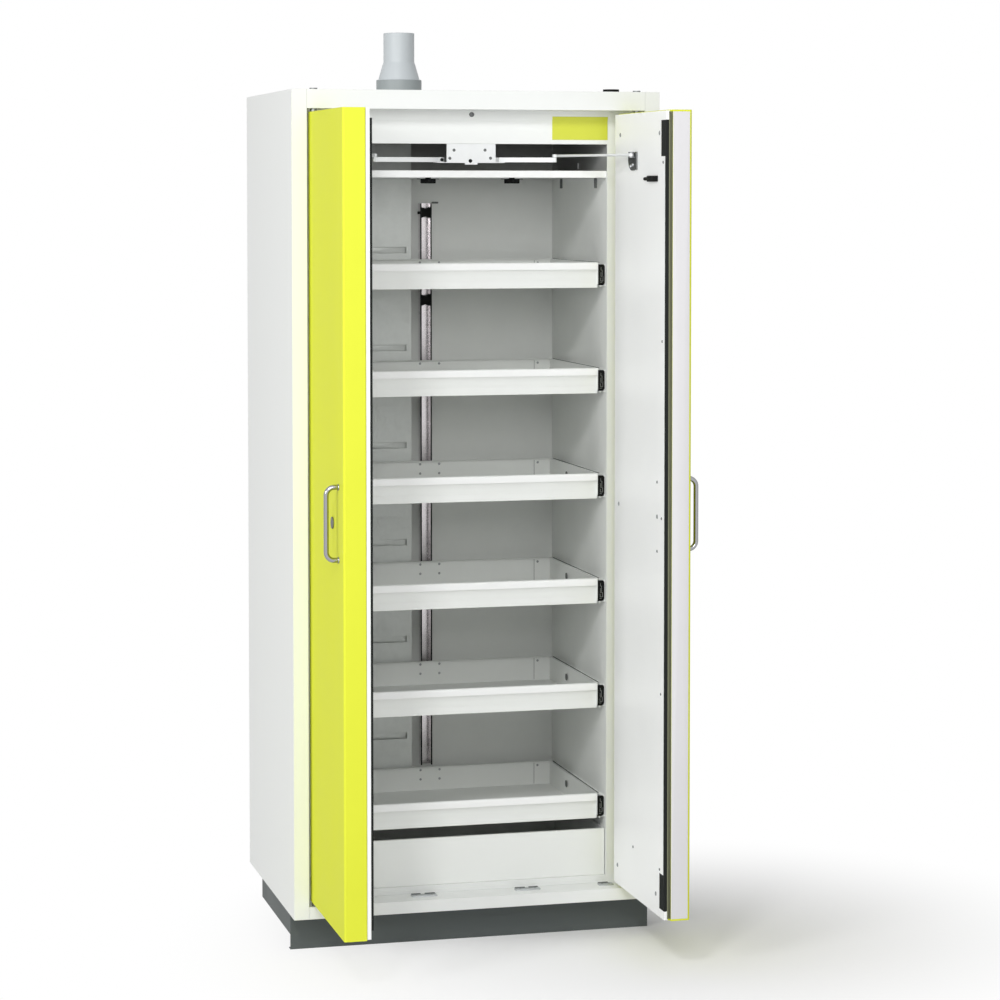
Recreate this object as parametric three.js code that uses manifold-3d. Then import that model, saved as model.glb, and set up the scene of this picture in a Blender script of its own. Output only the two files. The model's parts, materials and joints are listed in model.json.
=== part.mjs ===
// Fire-resistant safety cabinet with two wing doors and six sump drawers on telescopic slides.
// Millimetres, +X to the right, +Y into the cabinet, +Z up.
// The origin is on the floor under the middle of the casing.
import * as THREE from 'three';
import { mergeVertices } from 'three/addons/utils/BufferGeometryUtils.js';
import Module from 'manifold-3d';

const wasm = await Module();
wasm.setup();

// Overall sizes
const width = 864;
const depth = 600;
const height = 1968;
const plinthHeight = 84;

// Stock and fits
const sheet = 1.5;
const gap = 0.3;
const cutOverrun = 5;
const weldStep = 0.0005;

// Casing
const sideFlange = 34.5;
const rearFlange = 20;
const rebate = 67.5;
const headerHeight = 43;
const sillHeight = 28;
const sillLap = 8;
const lintelDrop = 120;
const lintelBendDrop = 67;
const lintelLean = 5;
const lintelTail = 10;

// Chamber inside the insulation
const wallThickness = 106;
const floorThickness = 45;
const roofThickness = 71;
const rearThickness = 57;
const liningSheet = 4;

// Doors
const doorGap = 3;
const hingeGap = 4;
const doorRise = 11;
const doorHeadGap = 8;
const doorSetback = 0.5;
const leafDepth = 50.5;
const leafRound = 5;
const leafInnerRound = 2.5;
const leafRebateWidth = 6;
const leafRebateDepth = 8;
const panelDepth = 8.6;
const panelInset = 2;
const panelHingeInset = 6;
const sealWidth = 7;
const sealProud = 5;
const sealHeadInset = 22.5;
const sealFootInset = 21.5;
const sealPadWidth = 35;
const sealPadHeight = 79;
const pinRadius = 7;
const pinHead = 9;
const pinHeadHeight = 2.6;
const pinDepthInDoor = 26;
const hingeInset = 52;
const hingeSetback = 11;

// Handles and lock
const handleLength = 169;
const handleRadius = 5.5;
const handleReach = 27.5;
const handleBend = 17;
const handleInset = 50.5;
const handleRise = 939;
const footRadius = 7;
const footHeight = 2;
const lockInset = 116;
const lockDrop = 5;
const lockRadius = 9;
const lockDepth = 24;
const lockFace = 13;
const lockFaceHeight = 2.4;
const keySlotLength = 10;
const keySlotWidth = 2.2;
const keySlotDepth = 6;

// Door closer in the space behind the lintel
const pivotOut = 65;
const pivotBack = 95;
const leverReach = { left: 162, right: 135.6 };
const tipBack = 71.4;
const eyeInset = 59;
const eyeForward = 150;
const leverDrop = 162;
const leverHeight = 11;
const leverThickness = 6;
const leverBoss = 8;
const leverTipRadius = 4.5;
const pivotRadius = 4;
const rodRadius = 3;
const rodEyeRadius = 6;
const rodEyeHeight = 7;
const rodPinRadius = 2.5;
const plateHalf = 58;
const plateTuck = 22;
const plateTabHalf = 15;
const plateTabDrop = 4;
const shelfHalf = 80;
const shelfRear = 112;
const plateSheet = 1.5;
const bracketHeight = 40;
const bracketWidth = 34;
const lugThickness = 3;
const lugLength = 13;

// Ceiling tray, sump and their supports
const trayDrop = 19.5;
const trayLip = 16;
const trayFront = 75;
const trayRearGap = 38;
const supportHeight = 23;
const supportWidth = 6;
const supportReach = 5;
const supportFrontInset = 91;
const supportRearInset = 41;
const sumpSideGap = 2;
const sumpFront = 75;
const sumpRearGap = 41;
const sumpHeight = 109;
const sumpRim = 8;

// Drawers
const drawerDrop = 213.5;
const drawerPitch = 247.5;
const upperDrawerCount = 5;
const lowestRise = 82.5;
const drawerSideGap = 17;
const drawerFront = 88;
const drawerRearGap = 45;
const drawerDepth = 59.5;
const rimHeight = 15.5;
const rimProud = 8;
const rimRound = 4;
const rearFoldDepth = 9;

// Telescopic slides
const slideShort = 3;
const slideDrop = 30;
const slideHalf = 25;
const outerLip = 9;
const middleInner = 15;
const middleOuter = 2.4;
const middleWeb = 8.6;
const innerLip = 6;

// Exhaust duct, interlock rail, spigot and air inlet on the roof
const ductLeft = -223;
const ductRight = -43;
const ductDepth = 31;
const ductRise = 24;
const ductHeadGap = 12;
const slotLeftInset = 17;
const slotRightInset = 11;
const slotHeight = 15;
const slotRise = 136;
const slotPitch = 239.5;
const slotCount = 6;
const railMiddle = -2;
const railWidth = 28;
const railDepth = 24;
const railRise = 58;
const railHeadGap = 76.5;
const blockHeight = 27;
const blockDrop = 9;
const blockNotch = 4;
const blockDepth = 20;
const spigotOut = -74;
const spigotFromChamberRear = 43;
const spigotRadius = 37.5;
const collarRadius = 54.5;
const collarHeight = 42;
const coneHeight = 83;
const spigotHeight = 155;
const spigotWall = 2.5;
const coneFoot = 50;
const inletInset = 87;
const inletBack = 100;
const inletRadius = 19;
const inletHeight = 8.5;
const inletStem = 12;

// Plinth
const plinthPanelInset = 3.3;
const plinthPanelFront = 68.5;
const plinthPanelFlange = 18;
const plinthInset = 28;
const plinthRearInset = 16;
const plinthRail = 30;
const plinthSheet = 3;
const crossRail = 60;

// Places worked out from the sizes above
const front = -depth / 2;
const halfWidth = width / 2;
const frameFace = front + rebate;
const innerHalf = halfWidth - sheet - gap;
const bayHalf = halfWidth - sideFlange;
const insulationFront = frameFace + sheet + gap;
const chamberBack = depth - rearThickness;
const chamberRear = front + chamberBack;
const chamberHalf = halfWidth - wallThickness;
const chamberFloor = plinthHeight + floorThickness;
const chamberCeiling = height - roofThickness;
const sillTop = plinthHeight + sillHeight;
const lintelBottom = height - lintelDrop;
const lintelBend = height - lintelBendDrop;
const doorBottom = sillTop + doorRise;
const doorTop = height - headerHeight - doorHeadGap;
const sealBottom = doorBottom + sealFootInset;
const sealTop = doorTop - sealHeadInset;
const handleMiddle = plinthHeight + handleRise;
const lockHeight = handleMiddle - lockDrop;
const leverBottom = height - leverDrop;
const trayTop = leverBottom - trayDrop;
const trayRear = chamberBack - trayRearGap;
const supportFirst = trayFront + supportFrontInset;
const supportSecond = trayRear - supportRearInset;
const sumpHalf = chamberHalf - sumpSideGap;
const sumpRear = chamberBack - sumpRearGap;
const sumpTop = chamberFloor + sumpHeight;
const drawerHalf = chamberHalf - drawerSideGap;
const drawerRear = chamberBack - drawerRearGap;
const slideLength = drawerRear - drawerFront + rimProud - slideShort;
const ductFront = chamberBack - ductDepth;
const ductBottom = sumpTop + ductRise;
const ductTop = chamberCeiling - ductHeadGap;
const slotLeft = ductLeft + slotLeftInset;
const slotRight = ductRight - slotRightInset;
const slotFirst = ductBottom + slotRise;
const railBottom = ductBottom + railRise;
const railTop = trayTop - railHeadGap;
const blockTop = railTop - blockDrop;
const spigotBack = chamberBack - spigotFromChamberRear;
const inletOut = halfWidth - inletInset;
const plinthPanelHalf = halfWidth - plinthPanelInset;
const plinthHalf = halfWidth - plinthInset;
const plinthRear = depth - plinthRearInset;
const hingeX = halfWidth - hingeInset;
const hingeY = front + hingeSetback;
const leafFace = front + doorSetback;
const leafBack = leafFace + leafDepth;
const panelFace = leafBack + gap;
const panelBack = panelFace + panelDepth;
const hingeEdge = bayHalf - hingeGap;
const meetingEdge = doorGap / 2;
const slideFront = front + drawerFront - rimProud;
const leverTop = leverBottom + leverHeight;
const rodMiddle = leverTop + gap + rodEyeHeight / 2;
const segments = { fine: 32, small: 16 };
const pathSteps = 24;

const materials = {
  casing: { color: 0xf1f3f2, roughness: 0.42, metalness: 0.05 },
  lining: { color: 0xdfe2e1, roughness: 0.55, metalness: 0 },
  board: { color: 0xcfc8b8, roughness: 0.95, metalness: 0 },
  yellow: { color: 0xdfec3c, roughness: 0.4, metalness: 0.05 },
  plinth: { color: 0x484e4d, roughness: 0.6, metalness: 0.1 },
  seal: { color: 0x1b1c1b, roughness: 0.85, metalness: 0 },
  steel: { color: 0xb9bcbd, roughness: 0.35, metalness: 0.9 },
  chrome: { color: 0xd6d8da, roughness: 0.14, metalness: 1 },
  plastic: { color: 0xc9cdce, roughness: 0.45, metalness: 0 },
  black: { color: 0x171817, roughness: 0.6, metalness: 0 },
};

// Solids: plain geometries are merged into closed bodies, so that cuts and joins can be made
function solid(geometry) {
  const bare = geometry.clone();
  bare.deleteAttribute('normal');
  bare.deleteAttribute('uv');
  const welded = mergeVertices(bare, weldStep);
  return new wasm.Manifold(new wasm.Mesh({
    numProp: 3,
    vertProperties: Float32Array.from(welded.attributes.position.array),
    triVerts: Uint32Array.from(welded.index.array),
  }));
}

function geometryOf(body) {
  const mesh = body.getMesh();
  const geometry = new THREE.BufferGeometry();
  geometry.setAttribute('position', new THREE.BufferAttribute(mesh.vertProperties, 3));
  geometry.setIndex(new THREE.BufferAttribute(mesh.triVerts, 1));
  const flat = geometry.toNonIndexed();
  flat.computeVertexNormals();
  return flat;
}

function join(bodies) {
  return bodies.reduce((sum, body) => sum.add(body));
}

function cut(body, tools) {
  return tools.reduce((rest, tool) => rest.subtract(tool), body);
}

function block(x, y, z) {
  const geometry = new THREE.BoxGeometry(x[1] - x[0], y[1] - y[0], z[1] - z[0]);
  geometry.translate((x[0] + x[1]) / 2, (y[0] + y[1]) / 2, (z[0] + z[1]) / 2);
  return solid(geometry);
}

function outline(points) {
  return new THREE.Shape(points.map(([a, b]) => new THREE.Vector2(a, b)));
}

// A profile drawn in the X and Y directions and drawn out from z0 to z1
function standing(shape, z0, z1, curveSegments = segments.small) {
  const geometry = new THREE.ExtrudeGeometry(shape, { depth: z1 - z0, bevelEnabled: false, curveSegments });
  geometry.translate(0, 0, z0);
  return solid(geometry);
}

// A profile drawn in the Y and Z directions and drawn out from x0 to x1
function lying(shape, x0, x1, curveSegments = segments.small) {
  const geometry = new THREE.ExtrudeGeometry(shape, { depth: x1 - x0, bevelEnabled: false, curveSegments });
  const axes = new THREE.Matrix4().makeBasis(
    new THREE.Vector3(0, 1, 0), new THREE.Vector3(0, 0, 1), new THREE.Vector3(1, 0, 0));
  geometry.applyMatrix4(axes);
  geometry.translate(x0, 0, 0);
  return solid(geometry);
}

// A profile drawn in the X and Z directions and drawn out from y0 to y1
function facing(shape, y0, y1, curveSegments = segments.small) {
  const geometry = new THREE.ExtrudeGeometry(shape, { depth: y1 - y0, bevelEnabled: false, curveSegments });
  const axes = new THREE.Matrix4().makeBasis(
    new THREE.Vector3(1, 0, 0), new THREE.Vector3(0, 0, 1), new THREE.Vector3(0, -1, 0));
  geometry.applyMatrix4(axes);
  geometry.translate(0, y1, 0);
  return solid(geometry);
}

function upright(radius, x, y, z0, z1, steps = segments.small) {
  const geometry = new THREE.CylinderGeometry(radius, radius, z1 - z0, steps);
  geometry.rotateX(Math.PI / 2);
  geometry.translate(x, y, (z0 + z1) / 2);
  return solid(geometry);
}

// A hole that clears a round piece of the given radius all round, flats included
function clearance(radius, x, y, z0, z1) {
  return upright((radius + gap) / Math.cos(Math.PI / segments.small), x, y, z0, z1);
}

// A sheet of one thickness folded along a line of corners, with the thickness on the right of the line
function foldedSheet(corners, thickness) {
  const points = corners.map(([a, b]) => new THREE.Vector2(a, b));
  const offsets = points.map((point, index) => {
    const before = index > 0 ? point.clone().sub(points[index - 1]).normalize() : null;
    const after = index < points.length - 1 ? points[index + 1].clone().sub(point).normalize() : null;
    const first = before ?? after;
    const second = after ?? before;
    const normal = new THREE.Vector2(first.y + second.y, -first.x - second.x).normalize();
    const share = normal.x * first.y - normal.y * first.x;
    return point.clone().addScaledVector(normal, thickness / share);
  });
  return new THREE.Shape([...points, ...offsets.reverse()]);
}

// A bar whose corners have one radius along y0 and another along y1
function roundedBar(x0, x1, y0, y1, near, far) {
  const shape = new THREE.Shape();
  shape.moveTo(x0 + near, y0);
  shape.lineTo(x1 - near, y0);
  shape.absarc(x1 - near, y0 + near, near, -Math.PI / 2, 0);
  shape.lineTo(x1, y1 - far);
  shape.absarc(x1 - far, y1 - far, far, 0, Math.PI / 2);
  shape.lineTo(x0 + far, y1);
  shape.absarc(x0 + far, y1 - far, far, Math.PI / 2, Math.PI);
  shape.lineTo(x0, y0 + near);
  shape.absarc(x0 + near, y0 + near, near, Math.PI, Math.PI * 3 / 2);
  return shape;
}

// The left half repeats the right half in the mirror
function handed(body, side) {
  const geometry = geometryOf(body);
  if (side > 0) return geometry;
  geometry.scale(-1, 1, 1);
  const place = geometry.attributes.position;
  for (let start = 0; start < place.count; start += 3) {
    const second = new THREE.Vector3().fromBufferAttribute(place, start + 1);
    const third = new THREE.Vector3().fromBufferAttribute(place, start + 2);
    place.setXYZ(start + 1, third.x, third.y, third.z);
    place.setXYZ(start + 2, second.x, second.y, second.z);
  }
  geometry.computeVertexNormals();
  return geometry;
}

const cabinet = new THREE.Group();

function place(name, material, geometry) {
  const mesh = new THREE.Mesh(geometry, new THREE.MeshStandardMaterial(materials[material]));
  mesh.name = name;
  cabinet.add(mesh);
}

// Casing

function sidePanel() {
  const corners = [
    [halfWidth - rearFlange, depth / 2],
    [halfWidth, depth / 2],
    [halfWidth, front],
    [bayHalf, front],
    [bayHalf, frameFace - gap],
  ];
  return standing(foldedSheet(corners, sheet), plinthHeight, height);
}

function header() {
  const lipEnd = frameFace - lintelLean - gap;
  const corners = [
    [lipEnd, height - headerHeight],
    [front, height - headerHeight],
    [front, height],
    [frameFace - gap, height],
  ];
  const bar = lying(foldedSheet(corners, sheet), -bayHalf + gap, bayHalf - gap);
  const holes = [-1, 1].map((side) => clearance(
    pinRadius, side * hingeX, hingeY, height - headerHeight - cutOverrun, height + cutOverrun));
  return cut(bar, holes);
}

function roofPanel() {
  const sheetBody = block([-innerHalf, innerHalf], [frameFace, depth / 2 - sheet - gap],
    [height - sheet, height]);
  return cut(sheetBody, [
    clearance(spigotRadius, spigotOut, front + spigotBack, height - cutOverrun, height + cutOverrun),
    clearance(inletStemRadius(), inletOut, front + inletBack, height - cutOverrun, height + cutOverrun),
  ]);
}

function basePanel() {
  const corners = [
    [frameFace + sillLap, plinthHeight],
    [front, plinthHeight],
    [front, sillTop],
    [frameFace - gap, sillTop],
  ];
  const sill = lying(foldedSheet(corners, sheet), -bayHalf + gap, bayHalf - gap);
  const holes = [-1, 1].map((side) => clearance(
    pinRadius, side * hingeX, hingeY, sillTop - sheet - cutOverrun, sillTop + cutOverrun));
  const floor = block([-innerHalf, innerHalf], [frameFace, backFace() - gap],
    [plinthHeight, plinthHeight + sheet]);
  return join([cut(sill, holes), floor]);
}

function backFace() {
  return depth / 2 - 2 * sheet - gap;
}

function backPanel() {
  return block([-innerHalf, innerHalf], [backFace(), backFace() + sheet],
    [plinthHeight, height - sheet - gap]);
}

// The frame that the doors close against, with the lintel leaning forward under the header
function frontFrame() {
  const lintelCorners = [
    [frameFace, lintelBottom],
    [frameFace, lintelBend],
    [frameFace - lintelLean, height - headerHeight],
    [frameFace - lintelLean, height - headerHeight + lintelTail],
  ];
  const lintel = lying(foldedSheet(lintelCorners, sheet), -bayHalf + gap, bayHalf - gap);
  const ring = block([-bayHalf + gap, bayHalf - gap], [frameFace, frameFace + sheet],
    [plinthHeight + sheet + gap, lintelBend]);
  const sillSlot = block([-bayHalf - cutOverrun, bayHalf + cutOverrun],
    [frameFace - cutOverrun, frameFace + sheet + cutOverrun], [plinthHeight, plinthHeight + sheet + gap]);
  const opening = block([-chamberHalf, chamberHalf],
    [frameFace - cutOverrun, frameFace + sheet + cutOverrun], [chamberFloor, lintelBottom]);
  return join([lintel, cut(ring, [sillSlot, opening])]);
}

function insulation() {
  const boards = block([-innerHalf, innerHalf], [insulationFront, backFace() - gap],
    [plinthHeight + sheet + gap, height - sheet - gap]);
  const wall = liningSheet + gap;
  const chamber = block([-chamberHalf - wall, chamberHalf + wall],
    [insulationFront - cutOverrun, chamberRear + wall],
    [chamberFloor - wall, chamberCeiling + wall]);
  return cut(boards, [
    chamber,
    clearance(spigotRadius, spigotOut, front + spigotBack, chamberCeiling, height + cutOverrun),
    clearance(inletStemRadius(), inletOut, front + inletBack, height - inletStem - sheet - gap,
      height + cutOverrun),
  ]);
}

// Lining of the chamber, with the outer slide members and the tray supports on the side walls

function sideLining() {
  const wall = block([chamberHalf, chamberHalf + liningSheet], [insulationFront, chamberRear - gap],
    [chamberFloor + gap, chamberCeiling - gap]);
  const members = drawerHeights().map((top) => outerMember(top - slideDrop));
  const supports = [supportFirst, supportSecond].map((back) => block(
    [chamberHalf - supportReach, chamberHalf + liningSheet / 2],
    [front + back - supportWidth / 2, front + back + supportWidth / 2],
    [trayTop - trayLip - gap - supportHeight, trayTop - trayLip - gap]));
  return join([wall, ...members, ...supports]);
}

function rearLining() {
  return block([-chamberHalf - liningSheet, chamberHalf + liningSheet],
    [chamberRear, chamberRear + liningSheet],
    [chamberFloor + gap, chamberCeiling - gap]);
}

function floorLining() {
  return block([-chamberHalf - liningSheet, chamberHalf + liningSheet],
    [insulationFront, chamberRear + liningSheet],
    [chamberFloor - liningSheet, chamberFloor]);
}

function ceilingLining() {
  const sheetBody = block([-chamberHalf - liningSheet, chamberHalf + liningSheet],
    [insulationFront, chamberRear + liningSheet], [chamberCeiling, chamberCeiling + liningSheet]);
  return cut(sheetBody, [clearance(spigotRadius, spigotOut, front + spigotBack,
    chamberCeiling - cutOverrun, chamberCeiling + liningSheet + cutOverrun)]);
}

function ceilingTray() {
  const half = chamberHalf - gap;
  const pan = block([-half, half], [front + trayFront, front + trayRear], [trayTop - trayLip, trayTop]);
  const hollow = block([-half + sheet, half - sheet], [front + trayFront + sheet, front + trayRear - sheet],
    [trayTop - trayLip - cutOverrun, trayTop - sheet]);
  return cut(pan, [hollow]);
}

function sumpTray() {
  const bottom = chamberFloor + gap;
  const pan = block([-sumpHalf, sumpHalf], [front + sumpFront, front + sumpRear], [bottom, sumpTop]);
  const inside = [-sumpHalf + sheet, sumpHalf - sheet];
  const hollow = block(inside, [front + sumpFront + sheet, front + sumpRear - sheet],
    [bottom + sheet, sumpTop - sheet]);
  const mouth = block(inside, [front + sumpFront + sumpRim, front + sumpRear - sumpRim],
    [sumpTop - 2 * sheet, sumpTop + cutOverrun]);
  return cut(pan, [hollow, mouth]);
}

// Drawers on their slides

function drawerHeights() {
  const upper = Array.from({ length: upperDrawerCount },
    (_, index) => trayTop - drawerDrop - index * drawerPitch);
  return [...upper, sumpTop + lowestRise];
}

function slideRun() {
  return [slideFront, slideFront + slideLength];
}

// The outer member is a channel on the chamber wall, open towards the drawer
function outerMember(middle) {
  const run = slideRun();
  const web = block([chamberHalf - sheet, chamberHalf + liningSheet / 2], run,
    [middle - slideHalf, middle + slideHalf]);
  const lips = [-1, 1].map((end) => block([chamberHalf - outerLip, chamberHalf],
    run, order(middle + end * (slideHalf - sheet), middle + end * slideHalf)));
  return join([web, ...lips]);
}

function order(a, b) {
  return a < b ? [a, b] : [b, a];
}

// The middle member is an I section that runs in the outer one and carries the inner one
function middleMember(middle) {
  const half = slideHalf - sheet - gap;
  const run = slideRun();
  const web = block([chamberHalf - middleWeb - sheet, chamberHalf - middleWeb], run,
    [middle - half, middle + half]);
  const flanges = [-1, 1].map((end) => block([chamberHalf - middleInner, chamberHalf - middleOuter],
    run, order(middle + end * (half - sheet), middle + end * half)));
  return join([web, ...flanges]);
}

// The inner member is a channel on the drawer wall, open towards the chamber wall
function innerMember(middle) {
  const half = slideHalf - 2 * (sheet + gap);
  const run = slideRun();
  const web = block([drawerHalf - sheet / 2, drawerHalf + sheet], run, [middle - half, middle + half]);
  const lips = [-1, 1].map((end) => block([drawerHalf, drawerHalf + innerLip],
    run, order(middle + end * (half - sheet), middle + end * half)));
  return join([web, ...lips]);
}

function rimShape(top) {
  const shape = new THREE.Shape();
  const rear = front + drawerFront + sheet;
  const face = front + drawerFront - rimProud;
  shape.moveTo(rear, top - rimHeight);
  shape.lineTo(rear, top);
  shape.lineTo(face + rimRound, top);
  shape.absarc(face + rimRound, top - rimRound, rimRound, Math.PI / 2, Math.PI);
  shape.lineTo(face, top - rimHeight + rimRound);
  shape.absarc(face + rimRound, top - rimHeight + rimRound, rimRound, Math.PI, Math.PI * 3 / 2);
  return shape;
}

function drawer(top) {
  const bottom = top - drawerDepth;
  const pan = block([-drawerHalf, drawerHalf], [front + drawerFront, front + drawerRear], [bottom, top]);
  const hollow = block([-drawerHalf + sheet, drawerHalf - sheet],
    [front + drawerFront + sheet, front + drawerRear - sheet], [bottom + sheet, top + cutOverrun]);
  const rim = lying(rimShape(top), -drawerHalf, drawerHalf);
  const rearFold = block([-drawerHalf, drawerHalf], [front + drawerRear - rearFoldDepth, front + drawerRear],
    [top - sheet, top]);
  const right = innerMember(top - slideDrop);
  const left = solid(handed(right, -1));
  return join([cut(pan, [hollow]), rim, rearFold, right, left]);
}

// Doors, drawn closed for the right-hand door and then swung open

function doorLeaf(side) {
  const shape = roundedBar(meetingEdge, hingeEdge, leafFace, leafBack, leafRound, leafInnerRound);
  const leaf = standing(shape, doorBottom, doorTop);
  const rebateCut = block([meetingEdge - cutOverrun, meetingEdge + leafRebateDepth],
    [leafBack - leafRebateWidth, leafBack + cutOverrun], [doorBottom - cutOverrun, doorTop + cutOverrun]);
  return cut(side > 0 ? cut(leaf, [rebateCut]) : leaf, [
    clearance(pinRadius, hingeX, hingeY, doorTop - pinDepthInDoor, doorTop + cutOverrun),
    clearance(pinRadius, hingeX, hingeY, doorBottom - cutOverrun, doorBottom + pinDepthInDoor),
  ]);
}

function lockBore() {
  const radius = (lockRadius + gap) / Math.cos(Math.PI / segments.small);
  const geometry = new THREE.CylinderGeometry(radius, radius, lockDepth + cutOverrun, segments.small);
  geometry.translate(meetingEdge + lockInset, leafFace + (lockDepth - cutOverrun) / 2, lockHeight);
  return solid(geometry);
}

function doorPanel(side) {
  const near = meetingEdge + panelInset;
  const panel = block([near, hingeEdge - panelHingeInset], [panelFace, panelBack],
    [doorBottom + panelInset, doorTop - panelInset]);
  const hollow = block([near + sheet, hingeEdge - panelHingeInset - sheet],
    [panelFace - cutOverrun, panelBack - sheet],
    [doorBottom + panelInset + sheet, doorTop - panelInset - sheet]);
  if (side < 0) return cut(panel, [hollow]);
  return cut(panel, [cut(hollow, [sealShape(near, gap + sheet)]), sealShape(near, gap)]);
}

// The seal along the meeting edge: let into the panel on the right-hand door, proud of it on the
// left-hand one
function sealShape(near, ease) {
  const back = panelBack + (ease ? cutOverrun : 0);
  const strip = block([near - ease, near + sealWidth + ease], [panelBack - sealProud - ease, back],
    [sealBottom - ease, sealTop + ease]);
  const lows = [sealBottom, sealTop - sealPadHeight];
  const pads = lows.map((low) => block([near - ease, near + sealPadWidth + ease],
    [panelBack - sealProud - ease, back], [low - ease, low + sealPadHeight + ease]));
  return join([strip, ...pads]);
}

function doorSeal(side) {
  const near = meetingEdge + panelInset;
  if (side > 0) return sealShape(near, 0);
  return block([near, near + sealWidth], [panelBack + gap, panelBack + gap + sealProud],
    [sealBottom, sealTop]);
}

function handle() {
  const out = meetingEdge + handleInset;
  const face = leafFace - gap;
  const half = handleLength / 2;
  const path = new THREE.CurvePath();
  const barY = face - handleReach;
  const corner = (y0, z0, yc, zc, y1, z1) => new THREE.QuadraticBezierCurve3(
    new THREE.Vector3(out, y0, z0), new THREE.Vector3(out, yc, zc), new THREE.Vector3(out, y1, z1));
  const line = (y0, z0, y1, z1) => new THREE.LineCurve3(new THREE.Vector3(out, y0, z0),
    new THREE.Vector3(out, y1, z1));
  const low = handleMiddle - half + handleRadius;
  const high = handleMiddle + half - handleRadius;
  path.add(line(face - footHeight / 2, low, barY + handleBend, low));
  path.add(corner(barY + handleBend, low, barY, low, barY, low + handleBend));
  path.add(line(barY, low + handleBend, barY, high - handleBend));
  path.add(corner(barY, high - handleBend, barY, high, barY + handleBend, high));
  path.add(line(barY + handleBend, high, face - footHeight / 2, high));
  return join([roundBar(path, handleRadius, segments.small), handleFoot(out, face, low),
    handleFoot(out, face, high)]);
}

function handleFoot(out, face, level) {
  const geometry = new THREE.CylinderGeometry(footRadius, footRadius, footHeight, segments.small);
  geometry.translate(out, face - footHeight / 2, level);
  return solid(geometry);
}

function roundBar(path, radius, steps) {
  const section = new THREE.Shape();
  section.absarc(0, 0, radius, 0, Math.PI * 2);
  const geometry = new THREE.ExtrudeGeometry(section, {
    extrudePath: path, steps: pathSteps, curveSegments: steps / 2, bevelEnabled: false });
  return solid(geometry);
}

function closerBracket() {
  const eyeX = hingeX - eyeForward;
  const eyeY = hingeY + eyeInset;
  const face = panelBack + gap;
  const top = rodMiddle + rodEyeHeight / 2 + gap + lugThickness;
  const base = block([eyeX - bracketWidth / 2, eyeX + bracketWidth / 2], [face, face + lugThickness],
    [top - bracketHeight, top]);
  const lug = (low) => {
    const shape = new THREE.Shape();
    shape.moveTo(eyeX - lugLength / 2, face);
    shape.lineTo(eyeX + lugLength / 2, face);
    shape.lineTo(eyeX + lugLength / 2, eyeY);
    shape.absarc(eyeX, eyeY, lugLength / 2, 0, Math.PI);
    return standing(shape, low, low + lugThickness);
  };
  const upper = lug(rodMiddle + rodEyeHeight / 2 + gap);
  const lower = lug(rodMiddle - rodEyeHeight / 2 - gap - lugThickness);
  const pin = upright(rodPinRadius, eyeX, eyeY, rodMiddle - rodEyeHeight / 2 - lugThickness,
    rodMiddle + rodEyeHeight / 2 + lugThickness);
  return join([base, upper, lower, pin]);
}

// The swing from closed to open turns the right-hand door about its hinge pins
function swungOpen(body) {
  const geometry = geometryOf(body);
  geometry.translate(-hingeX, -hingeY, 0);
  geometry.rotateZ(Math.PI / 2);
  geometry.translate(hingeX, hingeY, 0);
  return solid(geometry);
}

function hingePinTop() {
  const shaft = upright(pinRadius, hingeX, hingeY, doorTop - pinDepthInDoor + gap,
    height + gap + pinHeadHeight);
  const head = upright(pinHead, hingeX, hingeY, height + gap, height + gap + pinHeadHeight);
  return join([shaft, head]);
}

function hingePinBottom() {
  const shaft = upright(pinRadius, hingeX, hingeY, plinthHeight + sheet + gap,
    doorBottom + pinDepthInDoor - gap);
  const collar = upright(pinHead, hingeX, hingeY, sillTop + gap, doorBottom - gap);
  return join([shaft, collar]);
}

function lockCylinder() {
  const out = meetingEdge + lockInset;
  const plug = new THREE.CylinderGeometry(lockRadius, lockRadius, lockDepth, segments.small);
  plug.translate(out, leafFace + lockDepth / 2 - gap, lockHeight);
  const face = new THREE.CylinderGeometry(lockFace, lockFace, lockFaceHeight, segments.fine);
  face.translate(out, leafFace - gap - lockFaceHeight / 2, lockHeight);
  const slot = block([out - keySlotWidth / 2, out + keySlotWidth / 2],
    [leafFace - gap - lockFaceHeight - cutOverrun, leafFace + keySlotDepth],
    [lockHeight - keySlotLength / 2, lockHeight + keySlotLength / 2]);
  return cut(join([solid(plug), solid(face)]), [slot]);
}

// Door closer

function closerPlate() {
  const face = frameFace + sheet + gap;
  const plateLow = leverBottom - gap - plateSheet;
  const plate = block([-plateHalf, plateHalf], [face, face + plateSheet],
    [plateLow, lintelBottom + plateTuck]);
  const tab = block([-plateTabHalf, plateTabHalf], [face, face + plateSheet],
    [plateLow - plateTabDrop, plateLow + plateSheet]);
  const shelf = block([-shelfHalf, shelfHalf], [face, front + shelfRear], [plateLow, plateLow + plateSheet]);
  const pins = [-1, 1].map((side) => upright(pivotRadius, side * pivotOut, front + pivotBack,
    plateLow + plateSheet / 2, leverTop));
  return join([plate, tab, shelf, ...pins]);
}

// The left lever reaches further than the right one
function leverTip(hand) {
  return new THREE.Vector2(pivotOut + leverReach[hand], front + tipBack);
}

function closerLever(hand) {
  const from = new THREE.Vector2(pivotOut, front + pivotBack);
  const to = leverTip(hand);
  const along = to.clone().sub(from).normalize();
  const across = new THREE.Vector2(-along.y, along.x).multiplyScalar(leverThickness / 2);
  const bar = standing(new THREE.Shape([
    from.clone().sub(across), to.clone().sub(across), to.clone().add(across), from.clone().add(across)]),
  leverBottom, leverTop);
  const boss = upright(leverBoss, from.x, from.y, leverBottom, leverTop);
  const tip = upright(leverTipRadius, to.x, to.y, leverBottom, leverTop);
  const bore = clearance(pivotRadius, from.x, from.y, leverBottom - cutOverrun, leverTop + cutOverrun);
  return cut(join([bar, boss, tip]), [bore]);
}

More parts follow.
